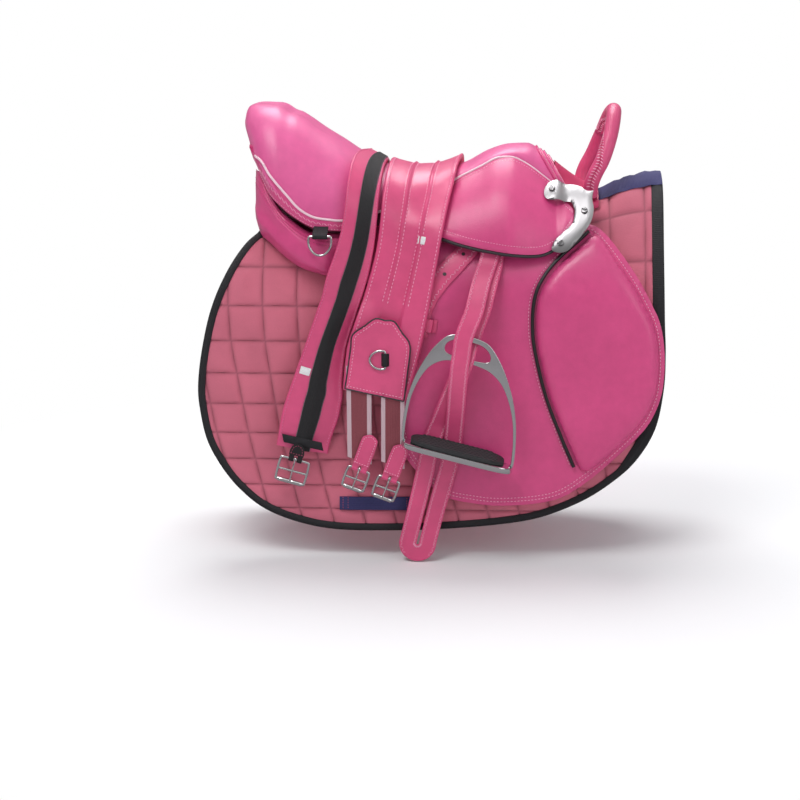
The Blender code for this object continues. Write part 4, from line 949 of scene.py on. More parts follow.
def build_pad():
    rim = inset(pad_curve(5.0), 4.0)
    cells_u, cells_v = (-4, 13), 11.5
    bm = bmesh.new()
    bmesh.ops.create_grid(bm, x_segments=17 * CELL_STEPS, y_segments=23 * CELL_STEPS, size=1.0)
    seam = bm.verts.layers.float.new("seam")
    warp, weft = bm.verts.layers.float.new("warp"), bm.verts.layers.float.new("weft")
    place = {}
    for v in bm.verts:
        u = tighten(mix(cells_u[0], cells_u[1], (v.co.x + 1) / 2))
        w = tighten(abs(cells_v * v.co.y) - 0.3)
        s = math.copysign(QUILT_S(w), v.co.y)
        narrow = 1 - 0.08 * ease((abs(s) - 138) / 220)
        place[v] = (u, w)
        v.co = (QUILT_X + QUILT_CELL * narrow * u + QUILT_LEAN(abs(s)), s, 0)
    verts = bm.verts[:]
    flat_points = np.array([(v.co.x, v.co.y) for v in verts])
    ring = np.array([tuple(p) for p in rim])
    inside = np.zeros(len(verts), bool)
    for a, b in zip(ring, np.roll(ring, -1, axis=0)):
        crossing = (a[1] > flat_points[:, 1]) != (b[1] > flat_points[:, 1])
        with np.errstate(divide="ignore", invalid="ignore"):
            reach = a[0] + (flat_points[:, 1] - a[1]) / (b[1] - a[1]) * (b[0] - a[0])
        inside ^= crossing & (flat_points[:, 0] < reach)
    bmesh.ops.delete(bm, geom=[v for v, keep in zip(verts, inside) if not keep], context="VERTS")
    bmesh.ops.delete(bm, geom=[v for v in bm.verts if not v.link_faces], context="VERTS")
    for v in bm.verts:
        if v.is_boundary:
            p = np.array((v.co.x, v.co.y))
            seg = np.roll(ring, -1, axis=0) - ring
            t = np.clip(((p - ring) * seg).sum(axis=1) / (seg**2).sum(axis=1), 0, 1)
            q = ring + seg * t[:, None]
            k = np.hypot(*(q - p).T).argmin()
            v.co = (q[k][0], q[k][1], 0)
    heights = {}
    flat_verts = bm.verts[:]
    rim_gap = distances(pad_curve(5.0), [(v.co.x, v.co.y) for v in flat_verts])
    for v, d in zip(flat_verts, rim_gap):
        u, w = place[v]
        x, s = v.co.x, v.co.y
        fu, fv = abs(math.sin(math.pi * u)), abs(math.sin(math.pi * w))
        puff = (fu * fv) ** 0.42
        cell = math.sin(math.floor(u) * 12.9 + math.floor(w) * 7.1 + (3 if s > 0 else 0)) * 0.5 + 0.5
        crown = 0.6 * (cell - 0.5) + 0.35 * math.sin(x * 0.21 + s * 0.08) * (1 - puff)
        top = PAD_T - 2.2 + (PAD_PUFF + 2.4 + crown) * puff
        top = mix(top, min(top, PAD_T - 0.4), under_saddle(x, s))
        top = mix(min(top, PAD_T - 0.2), top, ease((d - BINDING_W) / 9))
        heights[v] = (top, 0.9 * (1 - puff))
        # The seam mark drives the painted shade in the quilted valleys.
        v[seam] = (1 - min(fu, fv)) ** 2.5
        v[warp], v[weft] = x, s
    made = bmesh.ops.extrude_face_region(bm, geom=bm.faces[:])
    upper = {v for v in made["geom"] if isinstance(v, bmesh.types.BMVert)}
    verts = bm.verts[:]
    lows = [v for v in verts if v not in upper]
    key = {(round(v.co.x, 4), round(v.co.y, 4)): heights[v] for v in lows}
    for v in verts:
        h = key[(round(v.co.x, 4), round(v.co.y, 4))][0 if v in upper else 1]
        v.co = skin(v.co.x, v.co.y, h) * MM
    bmesh.ops.recalc_face_normals(bm, faces=bm.faces)
    obj = finish_piece("quilted_pad", bm, cotton, "saddle_pad", "saddle_pad", angle=75)

    outline = pad_curve(6.0)
    inner = BINDING_W
    section = [
        (inner, 0.2), (inner - 2.4, -0.5), (3.0, -0.6), (1.2, -0.3), (0.25, 1.2), (0.0, 4.6), (0.4, 8.4),
        (1.8, 10.2), (4.4, 10.9), (inner - 2.2, 10.6), (inner, 9.3),
    ]
    rings = {d: inset(outline, d) for d in (-2.0, 0.0, 8.0)}

    def rim_spot(i, d, h):
        wide = 1 + 0.55 * ease((outline[i][0] - 225) / 25) * ease((d - 1.9) / 3)
        p, q = rings[0.0][i], rings[8.0][i]
        return skin(*(p + (q - p) * (d * wide / 8.0)), h)

    rows = [[rim_spot(i, d, h) for d, h in section] for i in range(len(outline))]
    bm = stretch(rows, True, True, marks=lambda i, j: (i * 6.0, j / 5.0 - 1))
    finish_piece("pad_edge_binding", bm, black_tape, "pad_binding", "pad_binding")

    top = PAD_T + 1.0
    half = BAND_HALF
    band = spline([(-173, -half), (271, -half), (271, half), (-173, half)], 12, True, sharp=(0, 1, 2, 3))
    bm = layer(band, flat(top), lambda x, s: top + BAND_T + fold(x, s), skin, 6.0, 0.6, grooves=(3.0,), groove=0.3)
    mark_flat(bm)
    finish_piece("spine_webbing", bm, navy_web, "pad_spine_band", "pad_spine_band")

    for side, tag in SIDES:
        ends = (-101, -12)
        rows = []
        base = PAD_T + PAD_PUFF - GAP
        for k in range(37):
            x = mix(ends[0], ends[1], k / 36)
            low = base + 1.6 * ease((x - ends[0]) / 22) * ease((ends[1] - x) / 22)
            s = mix(362, 361, k / 36)
            section = [(0.3, 0.2), (0, WEB_T / 2), (0.6, WEB_T), (8, WEB_T), (15.4, WEB_T), (16, WEB_T / 2),
                       (15.7, 0.2), (8, 0)]
            rows.append([skin(x, side * (s + a), low + b) for a, b in section])
        bm = stretch(rows, True, marks=lambda i, j: (i * 3.0, (0, 0, .2, .5, .8, 1, 1, .5)[j] * 2 - 1))
        node = "pad_girth_loop_" + tag
        finish_piece("girth_keeper_web_" + tag, bm, navy_web, node, node)
        for x in (-97, -91, -22, -16):
            line = [(x, mix(363, 376.5, k / 8)) for k in range(9)]
            sew_flat("pad_dark", line, side, base + WEB_T + 0.9 * ease((x - ends[0]) / 22), 3.0)


def mark_flat(bm):
    """Gives a finished flat layer its running and crossing measures from its place."""
    run, across = bm.verts.layers.float.new("run"), bm.verts.layers.float.new("across")
    for v in bm.verts:
        v[run], v[across] = v.co.x / MM, 0.0


# Seat
def seat_section(x, count=40):
    """Right half of the seat's cross section as (y, z), from the middle below to the middle above."""
    w, low, top = half_width(x), seat_low(x), top_track(x) - 6.5 * math.exp(-(((x + 160) / 10) ** 2))
    back = ease((-x - 60) / 100)
    half = [(w * f, max(low, under_z(x, w * f, 0, SEAT_CLEAR_H))) for f in (0, 0.25, 0.5, 0.75, 0.9)]
    half += [(w - min(3, w * 0.2), low), (w - 0.6, low + 0.3), (w, low + 1.5)]
    p, q = mix(2.3, 3.0, back), mix(2.0, 1.6, back)
    dish = 8.0 * back * ease((x - SEAT_REAR) / 30)
    for k in range(1, count + 1):
        a = math.pi / 2 * k / count
        y = w * math.cos(a) ** (2 / p)
        z = low + 1.5 + (top - low - 1.5) * math.sin(a) ** (2 / q)
        half.append((y, z - dish * math.exp(-((y / (0.45 * w)) ** 2))))
    return half


def seat_low(x):
    return rim_track(x) - drop_track(x) + overhang_track(x)


def seat_side(x, side, out=0.9, up=0.0):
    """Point on the seat's side where its edge piping runs, rising toward the cantle."""
    lift = 12.0 * ease((-128 - x) / 50) * ease((x + 201) / 17) + up
    low, top = seat_low(x), top_track(x)
    share = min(max((lift - 1.5) / (top - low - 1.5), 0.0), 1.0)
    y = half_width(x) * (1 - share**1.6) ** (1 / 3.0) + out
    return Vector((x, side * y, low + max(lift, 1.2)))


def nose_line(z):
    """Where the layered front edge of the seat runs at height z."""
    return 121 + 0.62 * (95 - z)


def build_seat():
    xs = [-211.9, -211.4, -210.6, -209.6, -208.2, -206.4, -204, -201, -198, -194.5]
    xs += list(np.linspace(-191, 140, 84)) + [142.5, 144.6, 145.7, 146]
    rows = []
    for x in xs:
        half = seat_section(x)
        half = [(x - 5.5 * ease((z - 96) / 26) * ease((-188 - x) / 20), y, z) for y, z in half]
        rows.append(half + [(a, -y, z) for a, y, z in half[-2:0:-1]])
    bm = stretch(rows)
    # Painted shade: ahead of the layered nose the seat's front face fades into dark crimson.
    inside = bm.verts.layers.float.new("inside")
    for v in bm.verts:
        v[inside] = ease((v.co.x / MM - nose_line(v.co.z / MM) - 5.5) / 1.5)
    obj = finish_piece("seat_cushion", bm, seat_leather, "seat", "seat", angle=50)

    front = [(x, -half_width(x) - 0.9, rim_track(x) - drop_track(x) + 0.2) for x in (96, 108, 120, 132, 140, 145)]
    front += [tuple(skin(x, -skirt_front_s(x) + 0.6, skirt_front_h(x) + 0.8)) for x in (148, 151.5, 154)]
    rear = [tuple(seat_side(x, -1)) for x in (-197, -193, -188, -180, -171, -160, -146, -130, -112, -95)]
    middle = [(x, -half_width(x) - 1.4, seat_low(x) + 1.2) for x in range(-76, 90, 14)]
    near = rear + middle + front
    far = [(x, -y, z) for x, y, z in near[::-1]]
    bead = curve(far + [(-203, 50, 86), (-204, 0, 88), (-203, -50, 86)] + near, 4.0)
    finish_piece("seat_edge_piping", hose(bead, 1.5, 10), pale_piping, "seat_piping", "seat_piping")


def rim_smooth(out, down, front, step=5.0):
    return curve(rim_path(out, down, front), step)


def even(points, count):
    """The same curve through count evenly spaced points."""
    length = [0.0]
    for a, b in zip(points, points[1:]):
        length.append(length[-1] + (b - a).length)
    marks = np.linspace(0, length[-1], count)
    return [Vector([float(np.interp(m, length, [p[k] for p in points])) for k in range(3)]) for m in marks]


def build_cantle_band():
    """Stitched leather band that closes the seat's edge below the piping, with its zigzag seam."""
    xs = (-206, -201, -197, -193, -188, -180, -171, -160, -146, -130, -112, -95, -78, -60)
    upper = [seat_side(x, 1, -0.2, -0.8) for x in xs[::-1]] + [seat_side(x, -1, -0.2, -0.8) for x in xs]
    count = 161
    top = even(curve(upper, 3.0), count)
    foot = even(rim_smooth(0.2, 11.0, -60.0, 3.0)[::-1], count)
    if (top[0] - foot[0]).length > (top[0] - foot[-1]).length:
        foot = foot[::-1]
    rows, rail = [], []
    for i, (a, b) in enumerate(zip(top, foot)):
        t = (top[min(i + 1, count - 1)] - top[max(i - 1, 0)]).normalized()
        n = t.cross(Vector((0, 0, 1))).normalized()
        if n.dot(Vector((a.x + 60, a.y, 0))) < 0:
            n = -n
        thick = 1.5 * ease(min(i, count - 1 - i) / 5)
        rows.append([a - n * 3] + [a.lerp(b, f) + n * (thick * k) for f, k in (
            (0.0, 0.3), (0.06, 0.9), (0.3, 1.15), (0.6, 1.2), (0.88, 1.0), (0.97, 0.6), (1.0, 0.0))] + [b - n * 3])
        rail.append((a, b, n * (thick * 1.2 + 0.1), n))
    finish_piece("cantle_band", stretch(rows), flap_leather, "tree")
    marks = rail[8:-8]
    zig = [a.lerp(b, 0.34 if k % 2 else 0.62) + off for k, (a, b, off, n) in enumerate(marks)]
    zigzag("saddle_pale", zig, [n for _, _, _, n in marks], 0.38, 0.0)
    line = [a.lerp(b, 0.86) + off * 0.9 for a, b, off, n in marks]
    sew("saddle_pale", line, [n for _, _, _, n in marks], 3.4, wide=0.38, proud=0.05)


def build_tree_cover():
    """The frame's covering under the seat, painted near black as painted shade in the gap above the panels."""
    repaint("tree", painted_gap_shade)


# Panels
PANEL_FINE = 9
PANEL_SLACK = 0.42
PANEL_SEAMS = (54, 57, 60)


def panel_section(x, side):
    inner = 32.0
    w, bulge = base_width(x), panel_bulge(x)
    back = ease((-x - 62) / 40)
    sb = panel_s(x) - 6.0 * back - 8.0 * ease((-140 - x) / 40)
    shoulder = max(w * 0.9, inner + 7)
    top = []
    horn = 13.0 * ease((-168 - x) / 26)
    for y in (shoulder, max(w * 0.7, inner + 3.5), inner + 1.5):
        slack = (1.6 if y == shoulder else 3.2) + 3.2 * ease((-105 - x) / 25)
        z = column_z(x, y, TREE_T, TREE_H) - slack - 1.5 * ease((-170 - x) / 15)
        z += horn if y == shoulder else 0
        top.append(Vector((x, y, min(z, arc_z(x, y, panel_cap(x))) if x > 30 else z)))
    pts = [skin(x, s, PANEL_H) for s in (inner, mix(inner, sb, 0.5), sb)]
    pts.append(skin(x, sb + 3, mix(PANEL_H, bulge, 0.3)))
    pts.append(skin(x, sb + 2, mix(PANEL_H, bulge, 0.75)))
    pts.append(skin(x, sb - 7, bulge))
    middle = (pts[-1] + top[0]) / 2 + Vector((0, 5, 2)) * back
    s_mid, h_mid = to_polar(middle.y, middle.z - rise(x, 60))
    pts.append(skin(x, mix(62, s_mid, back), mix(19.3, h_mid, back)))
    pts += top
    shrink = 0.80 + 0.20 * ease((x + 197.5) / 9)
    centre = sum(pts, Vector()) / len(pts)
    pts = [centre + (p - centre) * shrink for p in pts]
    out = []
    n = len(pts)
    for i in range(n):
        a, b, c, d = pts[i - 1], pts[i], pts[(i + 1) % n], pts[(i + 2) % n]
        for q in range(PANEL_FINE):
            out.append(hermite(b, c, (c - a) * PANEL_SLACK, (d - b) * PANEL_SLACK, q / PANEL_FINE))
    reach = 4.5 * ease((-172 - x) / 25)
    return [(p.x - reach, side * p.y, p.z) for p in out]


def build_panels():
    xs = [-197.5, -196.9, -196, -194.4, -192] + list(np.linspace(-189, 130, 72)) + [134, 136.5, 138]
    for side, tag in SIDES:
        rows = [panel_section(x, side) for x in xs]
        lines = {k: [] for k in PANEL_SEAMS}
        fine = []
        for x, row in zip(xs, rows):
            pts = [Vector(p) for p in row]
            centre = sum(pts, Vector()) / len(pts)
            depth = 0.9 * ease((-70 - x) / 20) * ease((x + 196) / 8)
            moved = []
            for j, p in enumerate(pts):
                a, b = pts[j - 1], pts[(j + 1) % len(pts)]
                t = (b - a).normalized()
                n = Vector((0, -t.z, t.y))
                if n.dot(p - centre) < 0:
                    n = -n
                sink = sum(math.exp(-(((j - k) / 0.75) ** 2)) for k in lines)
                q = p - n * (depth * sink)
                if j in lines and x < -72:
                    lines[j].append((q, n))
                moved.append(q)
            fine.append(moved)
        obj = finish_piece("panel_cushion_" + tag, stretch(fine), panel_leather, "panel_" + tag, "panel_" + tag,
                           angle=60)
        for run in lines.values():
            pts = [p for p, n in run]
            sew("saddle_dark", pts, [n for p, n in run], 3.6, wide=0.4, proud=0.0)


# Pommel, handle and plates
def build_pommel():
    crest = track((146, 66), (160, 50), (172, 37), (184, 26), (197, 19))
    flank = track((146, 40), (160, 36), (172, 29), (184, 21.5), (197, 18))
    low = PAD_T + BAND_T + 3.2
    rows = []
    for x in np.linspace(146.8, 197, 34):
        row = []
        for k in range(41):
            s = mix(-44, 44, k / 40)
            h = mix(flank(x), crest(x), 1 - ease((abs(s) - 6) / 18))
            edge = min(44 - abs(s), 1.5) / 1.5
            row.append(skin(x, s, mix(low + 1.2, h, math.sqrt(max(edge, 0)) if edge < 1 else 1)))
        row += [skin(x, s, low) for s in (43, 22, 0, -22, -43)]
        rows.append(row)
    # The pommel's underside takes the dark crimson, painted shade under the pommel arch.
    finish_piece("pommel_head_cover", stretch(rows), painted_shade_crimson, "pommel_head", "pommel_head", angle=55)

    for k, (ahead, out, finish) in enumerate((
        (0.0, 1.9, flap_leather), (3.0, 1.5, raw_edge), (5.4, 1.9, seat_leather), (8.2, 1.2, raw_edge),
    )):
        rows = []
        for q in range(61):
            share = 1 - 2 * q / 60
            x = nose_line(60) + ahead
            for _ in range(5):
                point = seat_rim(x, share)
                x = nose_line(point.z) + ahead
            after = seat_rim(x, share - 0.02) - seat_rim(x, share + 0.02)
            n = Vector((0, -after.z, after.y)).normalized()
            n = n if n.dot(point - Vector((x, 0, 50))) > 0 else -n
            n = (n + Vector((0.25, 0, 0))).normalized()
            sect = [(-1.1, -2.5), (-1.2, -0.2), (-0.9, 0.7), (-0.3, 1.0), (0.5, 0.95), (1.0, 0.5), (1.2, -0.4),
                    (1.1, -2.5)]
            fade = ease((1 - abs(share)) / 0.04)
            rows.append([point + Vector((a, 0, 0)) + n * (b * out * mix(0.6, 1, fade)) for a, b in sect])
        finish_piece("pommel_edge_%d" % (k + 1), stretch(rows), finish, "pommel_head")


def seat_rim(x, share):
    """Point of the seat's upper surface; share goes from 1 at the left edge to -1 at the right."""
    half = seat_section(x)[8:]
    at = (1 - abs(share)) * (len(half) - 1)
    k = min(int(at), len(half) - 2)
    y, z = np.array(half[k]) * (1 - at + k) + np.array(half[k + 1]) * (at - k)
    return Vector((x, math.copysign(y, share), z))


def handle_path():
    half = [(186.6, 41.8, 36.9), (188, 45.5, 50), (192, 47, 62), (200, 46, 78), (206, 41, 95), (210.5, 32, 111),
            (213.5, 18, 126)]
    near = [(x, -y, z) for x, y, z in half]
    far = [(x - 7 * y / 47, y, z) for x, y, z in half[::-1]]
    return curve(near + [(214.5, 0, 132.5)] + far, 3.0)


def build_handle():
    path = handle_path()
    fr = frames(path, False)
    inner = Vector((204, 0, 60))
    rows, seam = [], []
    n = len(fr)
    sides = 28
    for i, (p, _, _) in enumerate(fr):
        a, b = path[max(i - 1, 0)], path[min(i + 1, n - 1)]
        t = (b - a).normalized()
        toward = (inner - p).normalized() + Vector((-0.3, 1.1 * min(max(p.y / 18, -1), 1), 0))
        toward = (toward - t * toward.dot(t)).normalized()
        wide = t.cross(toward)
        r = 8.6
        row = []
        for k in range(sides):
            q = 2 * math.pi * k / sides
            gap = math.exp(-((math.atan2(math.sin(q), math.cos(q)) / 0.16) ** 2))
            rr = r * (1 - 0.14 * gap) + 0.25 * math.sin(i * 0.9) * math.exp(-((abs(math.atan2(
                math.sin(q), math.cos(q))) - 0.5) / 0.3) ** 2)
            row.append(p + toward * (rr * math.cos(q)) + wide * (rr * math.sin(q)))
        rows.append(row)
        seam.append((p, toward, wide, r))
    # The across mark peaks on the handle's inner side, which fades into crimson painted shade.
    bm = stretch(rows, marks=lambda i, j: (i * 3.0, 1 - min(j, sides - j) / 2.2))
    finish_piece("grab_handle_cover", bm, handle_leather, "grab_handle", "grab_handle")
    line = even([p for p, _, _, _ in seam], int(n * 3.0 / 3.1))
    for i, c in enumerate(line[4:-4]):
        k = min(range(n), key=lambda j: (seam[j][0] - c).length)
        _, t0, w0, r = seam[k]
        along = (line[i + 5] - line[i + 4]).normalized()
        for sign in (-1, 1):
            a = c + t0 * (r * 0.90) + along * 0.7
            b = c + t0 * (r * 0.84) + w0 * (sign * 4.6) - along * 0.7
            stitch("saddle_pale", a, b, t0 + w0 * (0.5 * sign), 0.6, 0.55)


def build_plates():
    for side, tag in SIDES:
        outline = spline(PLATE, 2.4, closed=True, sharp=(7,))

        def high(x, s):
            return plate_low(x, s) + PLATE_T

        bm = layer(outline, plate_low, high, lambda x, s, h: skin(x, side * s, h), 4.0, 0.9)
        node = "pommel_plate_" + tag
        finish_piece("pommel_plate_face_" + tag, bm, plate_steel, node, node, angle=50)
        for k, (x, s) in enumerate(PLATE_SCREWS, 1):
            top = skin(x, side * s, high(x, s))
            axis = (skin(x + 4, side * s, high(x + 4, s)) - skin(x - 4, side * s, high(x - 4, s))).cross(
                skin(x, side * (s + 4), high(x, s + 4)) - skin(x, side * (s - 4), high(x, s - 4))
            ).normalized()
            axis = axis if axis.dot(skin(x, side * s, 80) - skin(x, side * s, 40)) > 0 else -axis
            node = "plate_screw_%s_%d" % (tag, k)
            finish_piece("slotted_screw_%s_%d" % (tag, k), slotted_screw(top, axis, 0.9 + k), plate_steel, node, node,
                         angle=30)


def slotted_screw(top, axis, turn):
    """Domed screw head with a milled slot."""
    bm = bmesh.new()
    bmesh.ops.create_circle(bm, cap_ends=True, segments=28, radius=3.7)
    for y in (-0.7, 0.7):
        bmesh.ops.bisect_plane(bm, geom=bm.verts[:] + bm.edges[:] + bm.faces[:], dist=1e-4, plane_co=(0, y, 0),
                               plane_no=(0, 1, 0))
    made = bmesh.ops.extrude_face_region(bm, geom=bm.faces[:])
    upper = [v for v in made["geom"] if isinstance(v, bmesh.types.BMVert)]
    bmesh.ops.translate(bm, verts=upper, vec=(0, 0, 1.9))
    faces = [f for f in bm.faces if f.normal.z > 0.5 or all(v in set(upper) for v in f.verts)]
    strip = [f for f in faces if all(abs(v.co.y) < 0.75 for v in f.verts)]
    rims = [e for e in bm.edges if all(v in set(upper) for v in e.verts) and
            all(math.hypot(v.co.x, v.co.y) > 3.6 for v in e.verts)]
    sunk = bmesh.ops.extrude_face_region(bm, geom=strip)
    floor = [v for v in sunk["geom"] if isinstance(v, bmesh.types.BMVert)]
    bmesh.ops.delete(bm, geom=strip, context="FACES_ONLY")
    bmesh.ops.translate(bm, verts=floor, vec=(0, 0, -1.1))
    bmesh.ops.bevel(bm, geom=rims, offset=0.7, segments=3, profile=0.5, affect="EDGES", material=-1)
    bmesh.ops.recalc_face_normals(bm, faces=bm.faces)
    look = axis.to_track_quat("Z", "Y").to_matrix().to_4x4()
    bm.transform(Matrix.Scale(MM, 4) @ Matrix.Translation(top + axis * 0.5) @ look @ Matrix.Rotation(turn, 4, "Z"))
    return bm


# Skirts, flaps and knee pads
def skirt_line(x):
    if x < 146:
        s0, h0 = to_polar(half_width(x) + 1.0, rim_track(x) - 5.0 - rise(x, 26))
    else:
        s0, h0 = skirt_front_s(x), skirt_front_h(x)
    return s0, h0, skirt_foot_s(x), skirt_foot_h(x)


def build_skirts():
    xs = list(np.linspace(-37.8, 145.6, 62)) + [147.5, 150, 152.5, 155, 157.5, 160, 162.5, 164.5, 166, 166.8]
    rows_n = 30
    for side, tag in SIDES:
        rows, foot, head = [], [], []
        for x in xs:
            s0, h0, s1, h1 = skirt_line(x)
            bulge = 2.2 * ease((168 - x) / 20)
            length = max(math.hypot(s1 - s0, h1 - h0), 1.0)
            upper, lower = [], []
            end = ease(min(x + 38.6, 167.6 - x) / 1.6)
            for k in range(rows_n + 1):
                t = k / rows_n
                s, h = mix(s0, s1, t), mix(h0, h1, t) + bulge * math.sin(math.pi * t)
                near = (1 - t) * length
                rnd = rounded(near / 1.1) * mix(0.35, 1, end)
                rnd = max(rnd, 0.12)
                press = 0.45 * math.exp(-(((near - 5.6) / 0.9) ** 2))
                press += 0.4 * math.exp(-(((t * length - 4.0) / 1.0) ** 2))
                upper.append(skin(x, side * s, h - SKIRT_T / 2 + SKIRT_T / 2 * rnd - press))
                lower.append(skin(x, side * s, h - SKIRT_T / 2 - SKIRT_T / 2 * rnd))
            rows.append(upper + lower[::-1])
            for near, line in ((5.6, foot), (length - 4.0, head)):
                t = 1 - near / length
                s, h = mix(s0, s1, t), mix(h0, h1, t) + bulge * math.sin(math.pi * t)
                if length > 12 and -32 < x < 163:
                    line.append((skin(x, side * s, h - 0.3), out_at(x, s, side)))
        node = "skirt_" + tag
        finish_piece("skirt_leather_" + tag, stretch(rows), flap_leather, node, node, angle=50)
        for line in (foot, head):
            sew("saddle_pale", [p for p, n in line], [n for p, n in line], 3.3, wide=0.42)
        # A near-black round strip tucked under the skirt's lower edge is painted shadow cast by the skirt.
        edge = []
        for x in xs[1:-1]:
            s0, h0, s1, h1 = skirt_line(x)
            edge.append(skin(x, side * (s1 + 0.4), h1 - SKIRT_T - 1.6))
        finish_piece("skirt_under_edge_" + tag, hose(edge, 2.1, 10), edge_paint_and_shade, node)


def closed_walk(outline, d):
    ring = inset(outline, d)
    return ring + [ring[0]]


def build_flaps():
    for side, tag in SIDES:
        outline = spline(FLAP, 5.0, closed=True, sharp=(0, 22))
        spot = (lambda sign: lambda x, s, h: skin(x, sign * s, h))(side)
        bm = layer(outline, flat(FLAP_H), flap_top, spot, 7.0, 1.2, grooves=(5.0, 9.0), groove=0.35)
        node = "flap_" + tag
        finish_piece("flap_leather_" + tag, bm, flap_leather, node, node, angle=50)
        top = FLAP_H + FLAP_T
        for d in (5.0, 9.0):
            sew_flat("saddle_pale", closed_walk(outline, d), side, top - 0.25, 4.0)

        ring = spline(KNEE_PAD, 5.0, closed=True, sharp=(0, 9))
        ring = inset(ring, -1.2)
        low = FLAP_H + FLAP_T + 0.6
        bm = puffed(ring, low, spot)
        node = "knee_pad_" + tag
        obj = finish_piece("knee_roll_" + tag, bm, pad_leather, node, node, angle=60)

        line = spline(KNEE_REAR, 5.0)
        path = [skin(p[0], side * p[1], top + 2.9) for p in line]
        node = "knee_piping_" + tag
        finish_piece("knee_edge_piping_" + tag, hose(path, 2.1, 12), black_piping, node, node)
        back = [p + np.array((-4.4, -1.6)) for p in line[2:]]
        sew_flat("saddle_pale", back, side, top + 0.1, 4.0)


def knee_profile(d):
    """Height of the knee pad's top above its foot line, from the distance to its edge."""
    return 1.2 + KNEE_PUFF * rounded(d / 12.0) + 0.6 * ease((d - 10) / 30)


KNEE_EMBOSS = [(160, 112), (194, 132), (222, 163), (237, 200), (243, 238), (238, 272)]


def knee_heights(ring, points):
    away = distances(ring, points)
    near = distances(spline(KNEE_EMBOSS, 6.0), points, closed=False)
    base = FLAP_H + FLAP_T + 0.6
    out = []
    for d, e, p in zip(away, near, points):
        out.append(base + knee_profile(d) - 0.9 * math.exp(-((e / 3.2) ** 2))
                   + 0.35 * math.sin(p[0] * 0.05 + p[1] * 0.031) * min(d / 17, 1))
    return out


def puffed(ring, low, spot):
    """Stuffed knee pad: flat behind, domed in front, sewn down along its rim."""
    bm, upper = cut_out(ring, (0.3, 0.8, 1.5, 2.4, 3.5, 4.8, 6.4, 8.2, 10.2, 12.4, 15.5), 5.0)
    verts = bm.verts[:]
    heights = knee_heights(ring, [(v.co.x, v.co.y) for v in verts])
    for v, h in zip(verts, heights):
        v.co = spot(v.co.x, v.co.y, h if v in upper else low) * MM
    bmesh.ops.recalc_face_normals(bm, faces=bm.faces)
    return bm


# Stirrup leathers and irons
def strap_line(step=6.0):
    """Stations of the stirrup strap, up over the bar, down before the eye and back up through it."""
    w, t = LEATHER_W / 2, LEATHER_T / 2
    up = BAR_R + 0.5 + t
    r = (OUTER[-1][1] - INNER[-1][1]) / 2
    x_turn = (OUTER[-1][1] + INNER[-1][1]) / 2
    s_end, h_end = OUTER[-1][0], OUTER[-1][2]
    line = []
    for q in range(-60, 91, 10):
        a = math.radians(q)
        line.append((BAR_X, BAR_S - up * math.cos(a), BAR_H + up * math.sin(a), 1, 0, w))
    for s, x, h in spline(OUTER, step):
        line.append((x, s, h, 1, 0, mix(w, w - 0.5, ease((s - 330) / 60))))
    for q in range(10, 180, 10):
        a = math.radians(q)
        line.append((x_turn + r * math.cos(a), s_end + r * math.sin(a), h_end, math.cos(a), math.sin(a), w - 0.5))
    for s, x, h in spline(INNER, step)[::-1]:
        line.append((x, s, h, -1, 0, mix(w, w - 0.5, ease((s - 330) / 60))))
    out = []
    n = len(line)
    for i in range(n):
        x, s, h, wx, ws, hw = line[i]
        a, b = line[i - 1], line[(i + 1) % n]
        tangent = Vector((b[0] - a[0], b[1] - a[1], b[2] - a[2])).normalized()
        width = Vector((wx, ws, 0))
        width = (width - tangent * width.dot(tangent)).normalized()
        out.append((Vector((x, s, h)), width, width.cross(tangent), hw))
    return out


def build_leather(side, tag):
    stations = strap_line()
    t = LEATHER_T / 2
    section = [(-1, -0.4), (-0.97, -0.85), (-0.90, -1), (-0.78, -1), (0.78, -1), (0.90, -1), (0.97, -0.85), (1, -0.4),
               (1, 0.4), (0.97, 0.85), (0.90, 1), (0.78, 0.93), (0.3, 1.0), (-0.3, 1.0), (-0.78, 0.93), (-0.90, 1),
               (-0.97, 0.85), (-1, 0.4)]
    rows = []
    for c, width, normal, hw in stations:
        row = [c + width * (hw * p) + normal * (t * q) for p, q in section]
        rows.append([skin(p.x, side * p.y, p.z) for p in row])
    node = "stirrup_leather_" + tag
    bm = stretch(rows, True, True)
    finish_piece("stirrup_strap_" + tag, bm, strap_leather, node, node, angle=45)
    lines = {-1: [], 1: []}
    for c, width, normal, hw in strap_line(2.3):
        for k in lines:
            for q in (0, 1):
                p = c + width * (k * (hw * 0.74 + (q - 0.5) * 3.6)) + normal * (t + 0.05)
                lines[k].append((skin(p.x, side * p.y, p.z), p))
    for k, points in lines.items():
        zig = [points[2 * i + (i % 2)] for i in range(len(points) // 2)]
        for (a, pa), (b, _) in zip(zig, zig[1:]):
            if (b - a).length > 9 or not 60 < pa.y < 425:
                continue
            n = skin(pa.x, side * pa.y, pa.z + 5) - skin(pa.x, side * pa.y, pa.z)
            stitch("strap_" + tag, a.lerp(b, 0.1), a.lerp(b, 0.9), n.normalized(), 0.33, 0.05)


# Where the zigzag seam's two rows run, as shares of the way from a tail's edge to its middle
SEAM_SHARES = (0.22, 0.5476)


